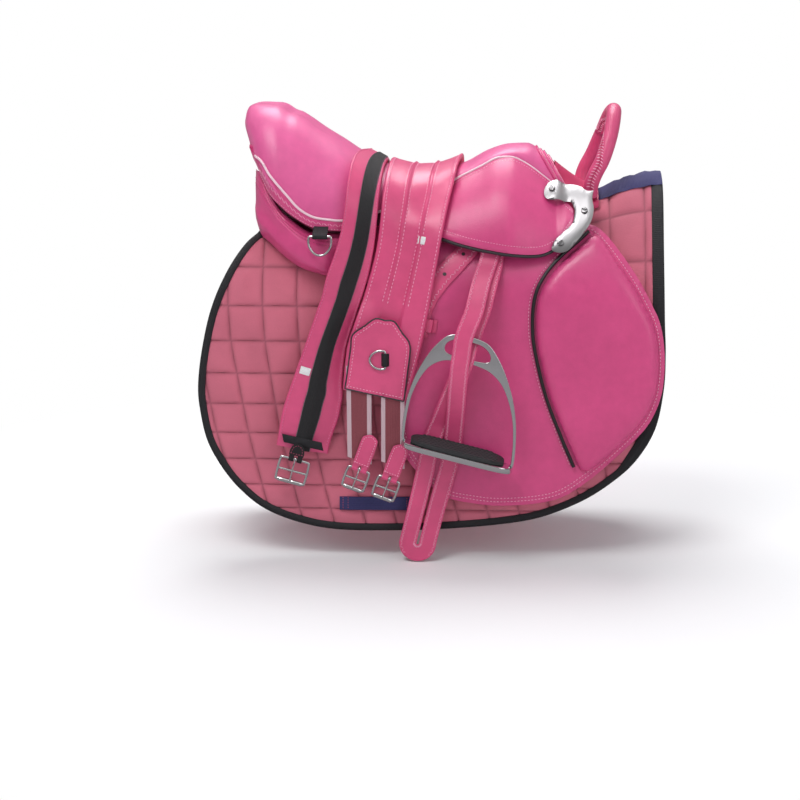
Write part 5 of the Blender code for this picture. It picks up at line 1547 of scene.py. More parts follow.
def build_tail(side, tag):
    line = spline([(x, s) for s, x in TAIL], 3.0)
    top = FLAP_H + FLAP_T
    outline, other = [], []
    for i, p in enumerate(line):
        a, b = line[max(i - 1, 0)], line[min(i + 1, len(line) - 1)]
        t = (b - a) / np.linalg.norm(b - a)
        n = np.array((-t[1], t[0])) * TAIL_W / 2
        outline.append(p + n)
        other.append(p - n)
    ring = outline + other[::-1]
    bm = layer(ring, flat(top + 0.9), flat(top + 3.4), lambda x, s, h: skin(x, side * s, h), 5.0, 0.8)
    node = "leather_tail_" + tag
    finish_piece("strap_tail_" + tag, bm, strap_leather, node, node)
    for rail in (outline, other):
        near, far = (walk([(*(r + (c - r) * f), 0) for r, c in zip(rail, line)], 3.2) for f in SEAM_SHARES)
        zig = [a if i % 2 else b for i, (a, b) in enumerate(zip(near, far))]
        points = [skin(q.x, side * q.y, top + 3.35) for q in zig]
        zigzag("saddle_pale", points, [Vector((0, side, 0.1)).normalized()] * len(points), 0.42, 0.1)
    # Each hole is a dark sunk disc: painted shade inside the punched hole.
    for k, (x, s) in enumerate(TAIL_HOLES):
        c = skin(x, side * s, top + 3.42)
        n = out_at(x, s, side)
        bm = bmesh.new()
        bmesh.ops.create_circle(bm, cap_ends=True, segments=20, radius=2.1)
        rim = bmesh.ops.inset_region(bm, faces=bm.faces[:], thickness=0.5)
        middle = [f for f in bm.faces if f not in set(rim["faces"])]
        sunk = bmesh.ops.extrude_face_region(bm, geom=middle)
        bmesh.ops.translate(bm, verts=[v for v in sunk["geom"] if isinstance(v, bmesh.types.BMVert)], vec=(0, 0, -0.5))
        look = n.to_track_quat("Z", "Y").to_matrix().to_4x4()
        bm.transform(Matrix.Scale(MM, 4) @ Matrix.Translation(c + n * 0.15) @ look)
        finish_piece("strap_hole_%s_%d" % (tag, k + 1), bm, edge_paint_and_shade, "leather_tail_" + tag)

    along = np.array((TAIL[6][1] - TAIL[5][1], TAIL[6][0] - TAIL[5][0]), float)
    along /= np.linalg.norm(along)
    across = np.array((-along[1], along[0]))
    arch = spline([(-18, 1.2), (-14.4, 1.2), (-12.9, 2.6), (-12.4, 4.6), (-11, 5.8), (0, 6.0), (11, 5.8),
                   (12.4, 4.6), (12.9, 2.6), (14.4, 1.2), (18, 1.2)], 1.2)

    def keeper_spot(w, a, b):
        q = np.array((KEEPER_X, KEEPER_S)) + across * a + along * w
        return skin(q[0], side * q[1], top + b)

    rows = bent_strap(arch, 1.4, ((3, 1.0), (6.6, 1.0), (7.2, 0.85), (7.5, 0.5)), keeper_spot)
    node = "flap_keeper_" + tag
    finish_piece("strap_keeper_" + tag, stretch(rows), strap_leather, node, node, angle=50)


FOOT_HALF = 65.3
TREAD_HALF = 59.0
TREAD_TOP_S = (292.2, 297.0)


def build_iron(side, tag):
    outer = mirrored([
        (0, 165.5), (15, 166.5), (25, 170.5), (34, 180), (43, 193), (51.5, 210), (58, 227), (63.5, 250), (66, 275),
        (66, 297), (63, 305),
    ])
    opening = mirrored([
        (0, 196), (15, 196.8), (29, 200.5), (42.5, 211), (52.5, 228.5), (59.4, 250), (62.4, 275), (62.6, 297),
        (61, 301.2),
    ])
    slot = mirrored([(0, 171.5), (15, 172.5), (24, 178), (26.5, 185), (22, 190), (0, 191.2)])
    rings = [spline(outer, 3.0, True, sharp=(10, 11)), spline(opening, 3.0, True, sharp=(8, 9)),
             spline(slot, 2.5, True)]
    bm = bmesh.new()
    for ring in rings:
        hoop = bmesh.ops.create_circle(bm, cap_ends=False, segments=len(ring), radius=1.0)["verts"]
        for v, p in zip(hoop, ring):
            v.co = (p[0], p[1], 0)
    bmesh.ops.triangle_fill(bm, use_beauty=True, use_dissolve=False, edges=bm.edges[:], normal=(0, 0, 1))
    for f in bm.faces[:]:
        if f.calc_area() < 1e-9:
            bm.faces.remove(f)
    made = bmesh.ops.extrude_face_region(bm, geom=bm.faces[:])
    upper = {v for v in made["geom"] if isinstance(v, bmesh.types.BMVert)}
    for v in bm.verts:
        v.co.z = IRON_T / 2 if v in upper else -IRON_T / 2
    bmesh.ops.recalc_face_normals(bm, faces=bm.faces)
    rim = [e for e in bm.edges if len(e.link_faces) == 2 and
           abs(e.link_faces[0].normal.z - e.link_faces[1].normal.z) > 0.5]
    bmesh.ops.bevel(bm, geom=rim, offset=1.9, segments=5, profile=0.5, affect="EDGES", material=-1,
                    clamp_overlap=True)
    for v in bm.verts:
        v.co = iron_point(side, v.co.y, v.co.x, v.co.z) * MM
    node = "stirrup_iron_" + tag
    finish_piece("stirrup_frame_" + tag, bm, bright_steel, node, node, angle=40)

    foot, sole = [], []
    for k in range(72):
        a = 2 * math.pi * k / 72
        ca, sa = math.cos(a), math.sin(a)
        foot.append((TREAD_HALF * math.copysign(abs(ca) ** 0.55, ca),
                     TREAD_DEPTH / 2 * math.copysign(abs(sa) ** 0.75, sa)))
        sole.append((FOOT_HALF * math.copysign(abs(ca) ** 0.35, ca),
                     TREAD_DEPTH / 2 * math.copysign(abs(sa) ** 0.8, sa)))
    rows = []
    for s, k in ((301.0, 0.96), (301.4, 0.99), (302.4, 1.0), (306.4, 1.0), (307.6, 0.985), (308.0, 0.95)):
        rows.append([iron_point(side, s, a * k, b * k) for a, b in sole])
    finish_piece("stirrup_foot_" + tag, stretch(rows), bright_steel, node, angle=40)

    rows = []
    for k, level in ((0.90, 0.0), (0.93, 0.1), (0.93, 0.85), (0.915, 0.97), (0.88, 1.0)):
        row = []
        for a, b in foot:
            t = (b / (TREAD_DEPTH / 2) + 1) / 2
            top = mix(*TREAD_TOP_S, t)
            row.append(iron_point(side, mix(300.6, top, level), a * k, b * k))
        rows.append(row)
    bm = stretch(rows)
    node = "stirrup_tread_" + tag
    finish_piece("tread_base_" + tag, bm, tread_rubber, node, node, angle=40)
    bm = bmesh.new()
    for lane in range(7):
        b = mix(-0.72, 0.72, lane / 6) * TREAD_DEPTH / 2
        t = (b / (TREAD_DEPTH / 2) + 1) / 2
        reach = TREAD_HALF * 0.80 * (1 - (abs(b) / (TREAD_DEPTH / 2)) ** 3.2) ** 0.3
        rib = bmesh.new()
        bmesh.ops.create_grid(rib, x_segments=60, y_segments=8, size=1.0)
        mesh = bpy.data.meshes.new("rib")
        for v in rib.verts:
            a = v.co.x * reach
            q = v.co.y
            bump = 1.4 * math.sqrt(max(0.0, 1 - q**4)) * math.sqrt(max(0.0, 1 - abs(v.co.x) ** 12))
            notch = 0.75 + 0.25 * math.cos(a * 1.1 + lane * math.pi)
            v.co = iron_point(side, mix(*TREAD_TOP_S, t + q * 0.05) - bump * notch + 0.3, a, b + q * 1.9) * MM
        rib.to_mesh(mesh)
        rib.free()
        bm.from_mesh(mesh)
        bpy.data.meshes.remove(mesh)
    bmesh.ops.solidify(bm, geom=bm.faces[:], thickness=0.0004)
    bmesh.ops.recalc_face_normals(bm, faces=bm.faces)
    finish_piece("tread_ribs_" + tag, bm, tread_rubber, node, angle=50)


def build_bars():
    for side, tag in SIDES:
        root = (102, side * (half_width(102) + 1.8), rim_track(102) - drop_track(102) - TREE_T + 4)
        path = [
            root, skin(103, side * 34, 66), skin(103, side * 45, 57), skin(100, side * 53, BAR_H + 1),
            skin(95, side * BAR_S, BAR_H), skin(54, side * BAR_S, BAR_H),
        ]
        node = "stirrup_bar_" + tag
        bm = hose(curve(path, 3.0), BAR_R, 16)
        finish_piece("stirrup_bar_rod_" + tag, bm, bright_steel, node, node)


# Rear rings
def d_curve(centre, across, down, r):
    c, u, v = Vector(centre), Vector(across), Vector(down)
    path = [c + u * (r * 0.85), c, c - u * (r * 0.85)]
    for k in range(11):
        a = math.pi - math.pi * k / 10
        bow = 0.96 if k in (0, 10) else 1.0
        path.append(c + u * (r * math.cos(a) * bow) + v * (r * 0.25 + r * 1.35 * math.sin(a)))
    return curve(path, 1.3, True)


def build_rear_rings():
    x, z = -120.5, -3.0
    for side, tag in SIDES:
        anchor = Vector((x, side * 121.5, z))
        node = "rear_ring_" + tag
        bm = hose(d_curve(anchor, (1, 0, 0), (0, 0, -1), RING_R), RING_WIRE, 12, True)
        finish_piece("saddle_ring_" + tag, bm, bright_steel, node, node)
        strap = spline([(-17.9, 11.6), (-13, 8.2), (-8, 5.6), (-3.2, 3.6), (0, 2.4), (2.0, 1.4), (2.4, -0.3),
                        (1.5, -1.9), (-0.3, -2.4), (-2.0, -1.4), (-2.5, 0.3)], 1.0)
        rows = bent_strap(strap, TAB_T, ((4, 1.0), (7.8, 1.0), (8.3, 0.8), (8.5, 0.4)),
                          lambda w, a, b: anchor + Vector((w, side * a, b)))
        node = "rear_ring_tab_" + tag
        finish_piece("ring_strap_" + tag, stretch(rows, marks=lambda i, j: (j * 1.0, i / 4 - 1)), black_tape, node,
                     node)


# Girths
def outer_surface():
    """Height function of what the girths lie on, from the CAD solids."""
    trees = []
    for name, obj in nodes.items():
        if name.startswith(UNDER_GIRTHS):
            verts = [v.co.copy() for v in obj.data.vertices]
            trees.append(BVHTree.FromPolygons(verts, [tuple(p.vertices) for p in obj.data.polygons]))

    def height(x, s):
        top, foot = skin(x, -s, 260), skin(x, -s, 0)
        d = (foot - top).normalized()
        best = 0.0
        for tree in trees:
            hit = tree.ray_cast(top * MM, d, 0.3)
            if hit[0] is not None:
                best = max(best, 260 - (hit[0] / MM - top).length)
        return best

    return height, trees


HEIGHT, UNDER_TREES = outer_surface()


def drape(left, right, s_from, s_to, coarse, rows, columns, fine_rows, clear):
    """Under-surface of a strap laid over the saddle, drawn finely through its coarse columns."""
    grid = []
    for t in coarse:
        column, flat_points = [], []
        for i in range(rows + 1):
            s = mix(s_from, s_to(t), i / rows)
            x = mix(left(s), right(s), t)
            near = max(HEIGHT(x + dx, s + ds) for dx in (-10, -5, 0, 5, 10) for ds in (-6, 0, 6))
            p = skin(x, -s, near + clear)
            column.append((x, s))
            flat_points.append((-p.y, p.z))
        peak = max(range(rows + 1), key=lambda i: flat_points[i][0])
        shape = taut(flat_points[: peak + 1]) + flat_points[peak + 1:]
        grid.append([column, shape, peak])
    plane = max(shape[peak][0] for _, shape, peak in grid)
    out = []
    for column, shape, peak in grid:
        start = shape[peak][1]
        row = []
        for i, ((x, s), (y, z)) in enumerate(zip(column, shape)):
            if i > peak:
                y = mix(shape[peak][0], plane, ease((start - z) / 45))
            row.append(Vector((x, -y, z)))
        out.append(row)
    drop = settle(out)
    out = [[p - drop for p in row] for row in out]
    smooth = []
    for row in out:
        fine = [Vector(p) for p in spline(row, 4.0)]
        smooth.append(even(fine, fine_rows + 1))
    result = []
    for t in columns:
        j = max(k for k in range(len(coarse) - 1) if coarse[k] <= t)
        f = (t - coarse[j]) / (coarse[j + 1] - coarse[j])
        result.append([a.lerp(b, f) for a, b in zip(smooth[j], smooth[j + 1])])
    return result, plane


def settle(grid):
    gap = 40.0
    for row, after in zip(grid, grid[1:]):
        for i in range(len(row) - 1):
            quad = (row[i], row[i + 1], after[i], after[i + 1])
            for k in range(9):
                a, b = (k % 3) / 2, (k // 3) / 2
                p = quad[0].lerp(quad[1], a).lerp(quad[2].lerp(quad[3], a), b)
                for tree in UNDER_TREES:
                    hit = tree.ray_cast(p * MM, Vector((0, 0, -1)), 0.04)
                    if hit[0] is not None:
                        gap = min(gap, p.z - hit[0].z / MM)
    return Vector((0, 0, gap - 2 * GAP))


def column_normal(grid, j, i):
    column = grid[j]
    d = column[min(i + 1, len(column) - 1)] - column[max(i - 1, 0)]
    return Vector((0, d.z, -d.y)).normalized()


def strap_shell(grid, columns, thick, lip):
    """Closed strap over a draped grid: rolled at both long edges; thick(t, i) gives its thickness."""
    m, n = len(grid), len(grid[0])
    rows = []
    for i in range(n):
        under, over = [], []
        for j in range(m):
            nrm = column_normal(grid, j, i)
            t = columns[j]
            rim = min(t, 1 - t)
            rnd = rounded(rim / lip)
            full = thick(t, i)
            end = 0.55 + 0.45 * ease(min(i, n - 1 - i) / 1.5)
            over.append(grid[j][i] + nrm * (full * mix(0.5, 1.0, rnd * end)))
            under.append(grid[j][i] + nrm * (full * mix(0.5, 0.0, rnd * end)))
        rows.append(over + under[::-1])
    return rows


def build_front_girth():
    coarse = (0.0, 0.06, 0.30, 0.345, 0.39, 0.61, 0.655, 0.70, 0.94, 1.0)
    columns = sorted({0.0, 0.008, 0.02, 0.035, 0.06, 0.10, 0.15, 0.20, 0.25, 0.29, 0.305, 0.318, 0.331, 0.345, 0.359,
                      0.372, 0.385, 0.40, 0.44, 0.50, 0.56, 0.60, 0.615, 0.628, 0.641, 0.655, 0.669, 0.682, 0.695, 0.71,
                      0.76, 0.81, 0.86, 0.90, 0.93, 0.95, 0.965, 0.98, 0.992, 1.0})
    rows = 96
    grid, plane = drape(FRONT_LEFT, FRONT_RIGHT, -75, lambda t: mix(229, 243, t), coarse, 30, columns, rows, 1.5)
    m = len(columns)

    def thick(t, i):
        s = mix(-75, 236, i / rows)
        fade = ease((168 - s) / 20)
        ridge = 2.0 * fade * sum(math.exp(-(((t - c) / 0.021) ** 2)) for c in (0.345, 0.655))
        groove = 0.5 * fade * sum(math.exp(-(((abs(t - c) - 0.045) / 0.008) ** 2)) for c in (0.345, 0.655))
        roll = 0.9 * math.exp(-(((t - 0.975) / 0.02) ** 2)) + 0.5 * math.exp(-(((t - 0.03) / 0.02) ** 2))
        belly = 0.5 * math.sin(math.pi * t) + 0.25 * math.sin(i * 0.35 + t * 5) * math.sin(math.pi * t)
        return FRONT_T * 0.94 + ridge - groove + roll + belly

    rows_of = strap_shell(grid, columns, thick, 0.045)
    marks = lambda i, j: (i * 4.2, 0.0)
    finish_piece("front_girth_body", stretch(rows_of, marks=marks), girth_leather, "front_girth", "front_girth",
                 angle=60)
    for t in (0.30, 0.39, 0.61, 0.70, 0.055, 0.945):
        j = min(range(m), key=lambda k: abs(columns[k] - t))
        pts, nrm = [], []
        for i in range(2, rows - (22 if 0.2 < t < 0.8 else 3)):
            n = column_normal(grid, j, i)
            pts.append(grid[j][i] + n * thick(columns[j], i))
            nrm.append(n)
        sew("front_girth_pale", pts, nrm, 4.4, wide=0.5)
    place_tag("front_tag", grid, columns, thick, 0.73, -8, "front_girth")
    return plane


def place_tag(name, grid, columns, thick, t, z, body):
    """Small blank white cloth tag sewn flat on a girth."""
    j = min(range(len(columns)), key=lambda k: abs(columns[k] - t))
    i = min((k for k in range(len(grid[j])) if grid[j][k].y < 0), key=lambda k: abs(grid[j][k].z - z))
    n = column_normal(grid, j, i)
    c = grid[j][i] + n * (thick(columns[j], i) + 0.2)
    up = (grid[j][i - 2] - grid[j][i + 2]).normalized()
    along = up.cross(n)
    rows = []
    for a in np.linspace(-6, 6, 9):
        row = []
        for b, h in ((-4.4, 0.1), (-4.5, 0.35), (-4.2, 0.6), (0, 0.7), (4.2, 0.6), (4.5, 0.35), (4.4, 0.1)):
            row.append(c + along * a + up * b + n * (h + 0.25 * math.cos(a * 0.5)))
        rows.append(row)
    finish_piece(name, stretch(rows, marks=lambda i, j: (i * 1.5, 0.0)), tag_cloth, body)


def flat_spot(y):
    """Mapping of (x, z, outward) onto a hanging girth's plane on the right side."""
    return lambda a, b, h: Vector((a, -(y + h), b))


def plane_layer(outline, y, t, finish_edge=0.5, grooves=(), step=5.0):
    return layer(outline, flat(0.0), flat(t), flat_spot(y), step, finish_edge, grooves)


def build_front_fittings(plane):
    out = Vector((0, -1, 0))
    face = plane + FRONT_T + 0.3
    steps = 40
    for k, (x0, x0_foot, x1, z0_foot, z1_foot) in enumerate(((-91, -90, -62, -257, -266), (-51, -51, -24, -262, -271))):
        rows = []
        for i in range(steps + 1):
            t = i / steps
            left = Vector((mix(x0, x0_foot, t), 0, mix(-150, z0_foot, t)))
            right = Vector((x1, 0, mix(-150, z1_foot, t)))
            row = []
            for f, h in ((0, 0.8), (0.03, 1.45), (0.10, 1.6), (0.5, 1.7), (0.90, 1.6), (0.97, 1.45),
                         (1, 0.8), (0.97, 0.1), (0.5, 0.0), (0.03, 0.1)):
                p = left.lerp(right, f)
                wave = 0.5 * math.sin(i * 0.45 + k) * ease((t - 0.2) * 2)
                row.append(Vector((p.x, -(face + h * ELASTIC_T / 1.6 + wave * 0.3), p.z)))
            rows.append(row)
        fs = (0, 0.03, 0.10, 0.5, 0.90, 0.97, 1, 0.97, 0.5, 0.03)
        bm = stretch(rows, marks=lambda i, j: (i * 2.9, fs[j] * 2 - 1))
        name = "girth_elastic_%d" % (k + 1)
        finish_piece(name, bm, brown_elastic, "front_elastics", "front_elastics" if k == 0 else ())
    bar_y = face + 1.0
    for k, (x, z, turn) in enumerate(FRONT_BUCKLES):
        axis, down = tilted(turn)
        centre = Vector((x, -bar_y, z))
        build_chape("front_chape_%d" % (k + 1), centre, axis, down, out, 19.0, 44, strap_leather, "front_elastics",
                    "front_girth_pale")
        build_buckle("front_buckle_%d" % (k + 1), centre, axis, down, out, 26, 24)
        build_tongue("front_tongue_%d" % (k + 1), centre, down, out, 24)

    lift = face + ELASTIC_T + 0.3
    outline = spline([(x, z) for x, z in PATCH], 4.0, True, sharp=(0, 11))
    bm = plane_layer(outline, lift, PATCH_T + 0.3, 0.7, (3.6,))
    finish_piece("girth_patch", bm, girth_leather, "front_patch", "front_patch", angle=50)
    border = inset(outline, -0.25)
    path = [Vector((p[0], -(lift + PATCH_T / 2 + 0.1), p[1])) for p in border]
    finish_piece("patch_edge", hose(path, 0.95, 8, True), edge_paint_and_shade, "front_patch")
    ring = closed_walk(outline, 3.6)
    pts = [Vector((p[0], -(lift + PATCH_T + 0.1), p[1])) for p in ring]
    sew("front_girth_pale", pts, [out] * len(pts), 3.8, wide=0.45)
    x, z = PATCH_RING
    y = lift + PATCH_T + 0.5 + RING_WIRE
    loop = spline([(-3.9, -2.0), (-3.1, -1.0), (-2.6, 0.2), (-1.6, 2.0), (0, 2.6), (1.6, 2.0), (2.6, 0.2), (3.2, -1.7),
                   (4.6, -1.9)], 0.8)
    ring_x = x + 8.0
    rows = bent_strap(loop, TAB_T, ((3, 1.0), (6.9, 1.0), (7.3, 0.8), (7.5, 0.4)),
                      lambda w, a, b: Vector((ring_x + a, -y - b, z + w)))
    finish_piece("patch_ring_strap", stretch(rows, marks=lambda i, j: (j * 0.8, i / 4 - 1)), black_tape, "front_patch")
    centre = Vector((ring_x, -y, z))
    bm = hose(d_curve(centre, (0, 0, 1), (-1, 0, 0), 11.0), RING_WIRE, 12, True)
    finish_piece("patch_d_ring", bm, bright_steel, "patch_ring", "patch_ring")


def build_chape(name, centre, axis, down, out, width, length, finish, node, key):
    """Rounded leather tab over the buckle bar with a stitched edge, and two turns under it."""
    r = BUCKLE_WIRE + 0.5 + TAB_T / 2
    path = [(8 - length, 1.2), (-r * 2.0, 1.4)]
    path += [(-r * math.cos(a), r * math.sin(a)) for a in (0.9, 1.6, 2.4, 3.14, 3.9, 4.7, 5.4)]
    path = spline(path, 1.5)
    half = (width / 2 - 2.4) / 2
    for k in (-1, 1):
        mid = centre + axis * (k * (width / 4 + 0.7))
        rows = bent_strap(path, TAB_T, ((half - 0.6, 1.0), (half - 0.2, 0.8), (half, 0.4)),
                          lambda w, a, b: mid + axis * w + down * a + out * b)
        finish_piece("%s_turn_%s" % (name, "a" if k < 0 else "b"), stretch(rows), finish, node)
    w = width / 2
    tab = spline([(-length, 0), (-length + 3, w * 0.72), (-length + 9, w), (-r * 2.2, w), (-r * 2.2, -w),
                  (-length + 9, -w), (-length + 3, -w * 0.72)], 2.0, True, sharp=(3, 4))
    spot = lambda a, b, h: centre + down * a + axis * b + out * h
    bm = layer(tab, flat(1.9), flat(3.9), spot, 4.0, 0.7, (2.3,), 0.3)
    finish_piece(name + "_tab", bm, finish, node, angle=50)
    ring = closed_walk(tab, 2.3)
    pts = [spot(p[0], p[1], 3.75) for p in ring]
    sew(key, pts, [out] * len(pts), 3.2, wide=0.42)


def build_buckle(node, centre, axis, down, out, width, length):
    """Roller buckle: rounded frame, a middle bar and a turned roller on the far bar."""
    w, r = width / 2, 3.0
    path = [(w - r, 0), (0, 0), (r - w, 0), (-w, r), (-w, length - r), (r - w, length), (w - r, length),
            (w, length - r), (w, r)]
    c = centre
    line = curve([tuple(c + axis * a + down * b) for a, b in path], 1.4, True)
    bm = hose(line, BUCKLE_WIRE + 0.3, 12, True)
    finish_piece(node + "_frame", bm, bright_steel, node, node)
    mid = [c + axis * a + down * (length * 0.52) - out * 0.2 for a in np.linspace(-w, w, 9)]
    finish_piece(node + "_bar", hose(mid, 1.4, 12), bright_steel, node)
    span = w - r + 0.6
    rows = []
    for a, q in ((-span, 1.8), (-span, 2.4), (-span + 0.3, 2.6), (-0.4, 2.6), (0.0, 2.4), (0.4, 2.6), (span - 0.3, 2.6),
                 (span, 2.4), (span, 1.8)):
        row = []
        for k in range(16):
            g = 2 * math.pi * k / 16
            row.append(c + axis * a + down * (length + q * math.cos(g)) + out * (q * math.sin(g)))
        rows.append(row)
    finish_piece(node + "_roller", stretch(rows), bright_steel, node, angle=35)


def build_tongue(node, centre, down, out, length):
    r = BUCKLE_WIRE + 0.4 + 1.0
    path = []
    for q in range(-150, 151, 15):
        a = math.radians(q)
        path.append(centre - down * (r * math.cos(a)) + out * (r * math.sin(a)))
    path += [centre + down * (length * f) + out * h for f, h in ((0.2, 2.6), (0.35, 2.7), (0.6, 2.85), (0.85, 2.95))]
    path.append(centre + down * (length - 0.5) + out * 2.7)
    n = len(path)
    radii = [1.0] * (n - 2) + [0.9, 0.55]
    finish_piece(node + "_prong", hose(path, radii, 10), bright_steel, node, node)


def build_rear_girth():
    coarse = (0.0, 0.08, 0.5, 0.92, 1.0)
    columns = (0.0, 0.008, 0.02, 0.04, 0.06, 0.09, 0.14, 0.20, 0.26, 0.32, 0.38, 0.44, 0.5, 0.56, 0.62, 0.68, 0.74,
               0.80, 0.86, 0.91, 0.94, 0.96, 0.98, 0.992, 1.0)
    rows = 110

    def left_edge(s):
        return REAR_LEFT(s) - 6 * ease((s - 70) / 60) * ease((300 - s) / 60)

    def right_edge(s):
        wide = REAR_RIGHT(s) + 9 * ease((s - 110) / 60) * ease((302 - s) / 50)
        return min(wide, max(FRONT_LEFT(s) - 2.5, REAR_RIGHT(s))) if s < 225 else wide

    grid, plane = drape(left_edge, right_edge, -75, lambda t: mix(292, 305, t), coarse, 32, columns, rows, 2.8)

    def thick(t, i):
        fold = 0.5 * math.exp(-(((min(t, 1 - t) - 0.03) / 0.02) ** 2))
        return REAR_T * 0.9 + fold + 0.3 * math.sin(math.pi * t) * (1 + 0.5 * math.sin(i * 0.22 + 3 * t))

    bm = stretch(strap_shell(grid, columns, thick, 0.05))
    finish_piece("rear_girth_body", bm, girth_leather, "rear_girth", "rear_girth", angle=60)
    left = track((0, 0.25), (6, 0.50), (12, 0.46), (17, 0.40), (22, 0.37), (27, 0.34), (30, 0.34), (32, 0.33))
    right = track((0, 0.80), (6, 0.92), (12, 0.92), (17, 0.83), (22, 0.76), (27, 0.70), (30, 0.67), (32, 0.66))

    def surface(t, i):
        j = max(k for k in range(len(columns) - 1) if columns[k] <= t)
        f = (t - columns[j]) / (columns[j + 1] - columns[j])
        return grid[j][i].lerp(grid[j + 1][i], f), column_normal(grid, j, i)

    band = []
    shares = (0, 0.02, 0.05, 0.12, 0.3, 0.5, 0.7, 0.88, 0.95, 0.98, 1.0)
    for i in range(4, rows + 1):
        q = i / rows * 32
        tl, tr = left(q), right(q)
        over, under = [], []
        for f in shares:
            t = mix(tl, tr, f)
            p, n = surface(t, i)
            base = thick(t, i) + 0.25
            edge = rounded(min(f, 1 - f) / 0.05)
            over.append(p + n * (base + ELASTIC_T * mix(0.3, 1.0, edge)))
            under.append(p + n * base)
        band.append(over + under[::-1])
    m = len(shares)
    marks = lambda i, j: (i * 4.0, (shares[j] if j < m else shares[2 * m - 1 - j]) * 2 - 1)
    finish_piece("rear_elastic_web", stretch(band, marks=marks), black_elastic, "rear_elastic", "rear_elastic")
    for t in (0.055, 0.945):
        pts, nrm = [], []
        for i in range(2, rows - 1):
            p, n = surface(t, i)
            pts.append(p + n * thick(t, i))
            nrm.append(n)
        sew("rear_girth_soft", pts, nrm, 3.6, wide=0.4)
    place_tag("rear_tag", grid, columns, thick, 0.20, -159, "rear_girth")
    out = Vector((0, -1, 0))
    x, z, turn = REAR_BUCKLE
    axis, down = tilted(turn)
    face = plane + REAR_T + 0.6
    corners = spline([(-166, -231), (-120, -241), (-118, -251), (-164, -241)], 4.0, True, sharp=(0, 1, 2, 3))
    bm = plane_layer(corners, face + 0.1, ELASTIC_T + 1.6, 0.8, step=4.0)
    mark_flat(bm)
    finish_piece("rear_keeper", bm, black_tape, "rear_elastic")
    centre = Vector((x, -(face + 1.0), z))
    build_chape("rear_chape", centre, axis, down, out, 17.0, 20, black_piping, "rear_elastic", "rear_girth_dark")
    build_buckle("rear_buckle", centre, axis, down, out, 34, 27)
    build_tongue("rear_tongue", centre, down, out, 27)


def build_far_buckles():
    for k in (1, 2, 3):
        repaint("far_buckle_%d" % k, bright_steel)


def sew_up():
    """Turns the gathered stitches into one piece for each body and colour."""
    homes = {
        "pad_dark": ("pad", dark_thread), "saddle_pale": ("saddle", pink_thread),
        "saddle_dark": ("saddle", dark_thread), "rear_girth_soft": ("rear_girth", soft_thread),
        "front_girth_pale": ("front_girth", pink_thread),
        "rear_girth_dark": ("rear_girth", dark_thread), "strap_left": ("stirrup_left", pink_thread),
        "strap_right": ("stirrup_right", pink_thread),
    }
    for key, bm in threads.items():
        body, finish = homes[key]
        finish_piece("stitching_" + key, bm, finish, None, body=body, angle=180)


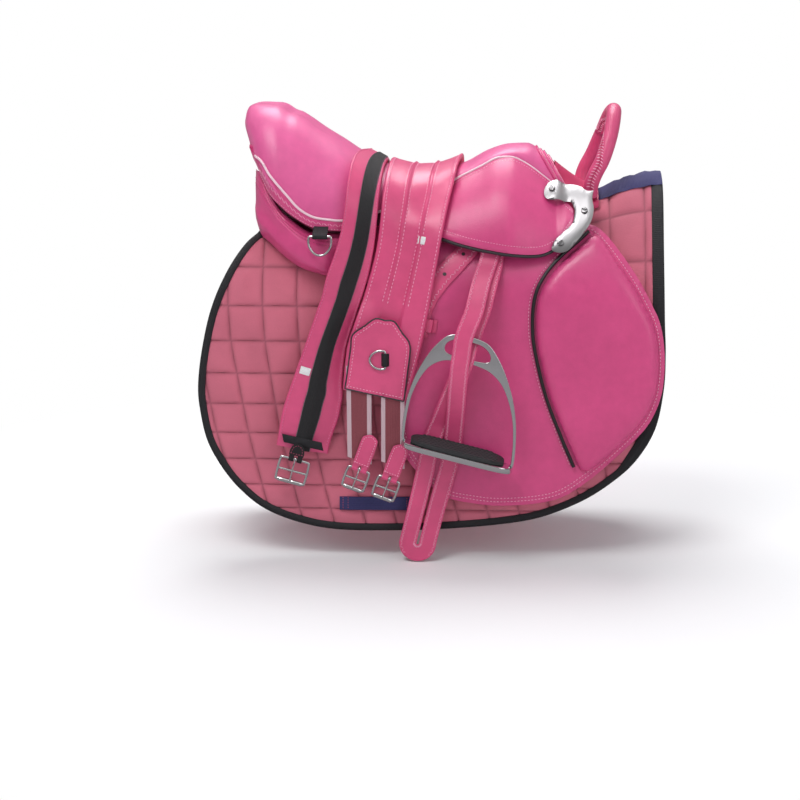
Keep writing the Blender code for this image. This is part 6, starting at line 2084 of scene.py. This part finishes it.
# Floor, light and camera
def build_studio():
    floor_z = cad_box[0][2] - 0.001
    bm = bmesh.new()
    bmesh.ops.create_grid(bm, x_segments=2, y_segments=2, size=12.0)
    mesh = bpy.data.meshes.new("floor")
    bm.to_mesh(mesh)
    bm.free()
    p = Paint("floor_white", (0.86, 0.86, 0.865), 0.9)
    p.set("Specular IOR Level", 0.0)
    seen = p.node("ShaderNodeLightPath", out="Is Camera Ray")
    reach = p.node("ShaderNodeVectorMath", {"operation": "LENGTH"}, {0: p.place()}, out=1)
    shiny = p.node("ShaderNodeLightPath", out="Is Glossy Ray")
    # For glossy rays the floor is mostly swapped for a dim grey glow: a painted reflection of the floor.
    reflected_floor_glow = p.node("ShaderNodeEmission", {}, {"Color": (0.20, 0.19, 0.20, 1), "Strength": 1.0})
    glow = p.node("ShaderNodeEmission", {}, {"Color": (1, 1, 1, 1), "Strength": 1.0})
    lit = p.node("ShaderNodeMixShader", {}, {0: shiny * 0.85, 2: reflected_floor_glow})
    p.tree.links.new(p.shader.outputs[0], lit.socket.node.inputs[1])
    pick = p.node("ShaderNodeMixShader", {}, {0: seen * p.ramp(reach, 0.45, 0.85), 1: lit, 2: glow})
    p.tree.links.new(pick.socket, p.tree.nodes["Material Output"].inputs[0])
    mesh.materials.append(p.mat)
    floor = bpy.data.objects.new("floor", mesh)
    floor.location.z = floor_z
    bpy.context.scene.collection.objects.link(floor)

    world = bpy.data.worlds.new("studio")
    bpy.context.scene.world = world
    world.use_nodes = True
    tree = world.node_tree
    back = tree.nodes["Background"]
    back.inputs["Color"].default_value = (0.93, 0.95, 1.0, 1)
    back.inputs["Strength"].default_value = 0.50

    def add(kind, *links, **values):
        node = tree.nodes.new(kind)
        for key, value in values.items():
            node.inputs[key].default_value = value
        for socket, source in links:
            tree.links.new(source, node.inputs[socket])
        return node

    path = add("ShaderNodeLightPath")
    sky = add("ShaderNodeSeparateXYZ", (0, add("ShaderNodeTexCoord").outputs["Generated"]))
    cards = add("ShaderNodeValToRGB", (0, add("ShaderNodeMapRange", (0, sky.outputs["Z"])).outputs[0]))
    stops = cards.color_ramp.elements
    for _ in range(3):
        stops.new(0.5)
    for stop, (place, level) in zip(stops, ((0.0, 0.75), (0.10, 0.20), (0.22, 0.04), (0.40, 0.50), (0.75, 1.0))):
        stop.position, stop.color = place, (level, level, level, 1)
    mirrored_room = add("ShaderNodeBackground", (0, cards.outputs[0]), Strength=0.85)
    white = add("ShaderNodeBackground", Color=(1, 1, 1, 1), Strength=1.0)
    room = add("ShaderNodeMixShader", (0, path.outputs["Is Glossy Ray"]), (1, back.outputs[0]),
               (2, mirrored_room.outputs[0]))
    shown = add("ShaderNodeMixShader", (0, path.outputs["Is Camera Ray"]), (1, room.outputs[0]), (2, white.outputs[0]))
    tree.links.new(shown.outputs[0], tree.nodes["World Output"].inputs[0])

    for name, spot, size, watts, aim in (
        ("key", (-0.8, -1.5, 2.3), 1.3, 32.0, (0, 0, -0.1)),
        ("top", (-0.1, 0.9, 2.0), 1.6, 40.0, (0, 0, 0)),
        ("fill", (1.8, -1.9, 0.7), 1.6, 9.0, (0, 0, -0.15)),
    ):
        lamp = bpy.data.lights.new(name, "AREA")
        lamp.shape, lamp.size, lamp.energy = "DISK", size, watts
        obj = bpy.data.objects.new(name, lamp)
        obj.location = spot
        obj.rotation_euler = (Vector(aim) - Vector(spot)).to_track_quat("-Z", "Y").to_euler()
        bpy.context.scene.collection.objects.link(obj)


CAMERA_TURN_DEG = 3.0
CAMERA_RISE_DEG = 12.5
CAMERA_REACH = 2.2
CAMERA_TARGET = (-0.036, 0.0, -0.218)
PIXEL_MM = 1.22
PICTURE_PIXELS = 800


def build_camera():
    az, el = math.radians(CAMERA_TURN_DEG), math.radians(CAMERA_RISE_DEG)
    target = Vector(CAMERA_TARGET)
    back = Vector((math.sin(az) * math.cos(el), -math.cos(az) * math.cos(el), math.sin(el)))
    lens = bpy.data.cameras.new("camera")
    lens.sensor_width = 36.0
    lens.lens = lens.sensor_width * CAMERA_REACH / (PIXEL_MM * MM * PICTURE_PIXELS)
    lens.clip_end = 60.0
    cam = bpy.data.objects.new("camera", lens)
    cam.location = target + back * CAMERA_REACH
    cam.rotation_euler = back.to_track_quat("Z", "Y").to_euler()
    bpy.context.scene.collection.objects.link(cam)
    bpy.context.scene.camera = cam


bpy.context.scene.view_settings.view_transform = "Standard"
build_camera()
build_studio()
build_pad()
build_seat()
build_cantle_band()
build_tree_cover()
build_panels()
build_pommel()
build_handle()
build_plates()
build_skirts()
build_flaps()
build_bars()
for side_sign, side_tag in SIDES:
    build_leather(side_sign, side_tag)
    build_tail(side_sign, side_tag)
    build_iron(side_sign, side_tag)
build_rear_rings()
build_front_fittings(build_front_girth())
build_rear_girth()
build_far_buckles()
sew_up()
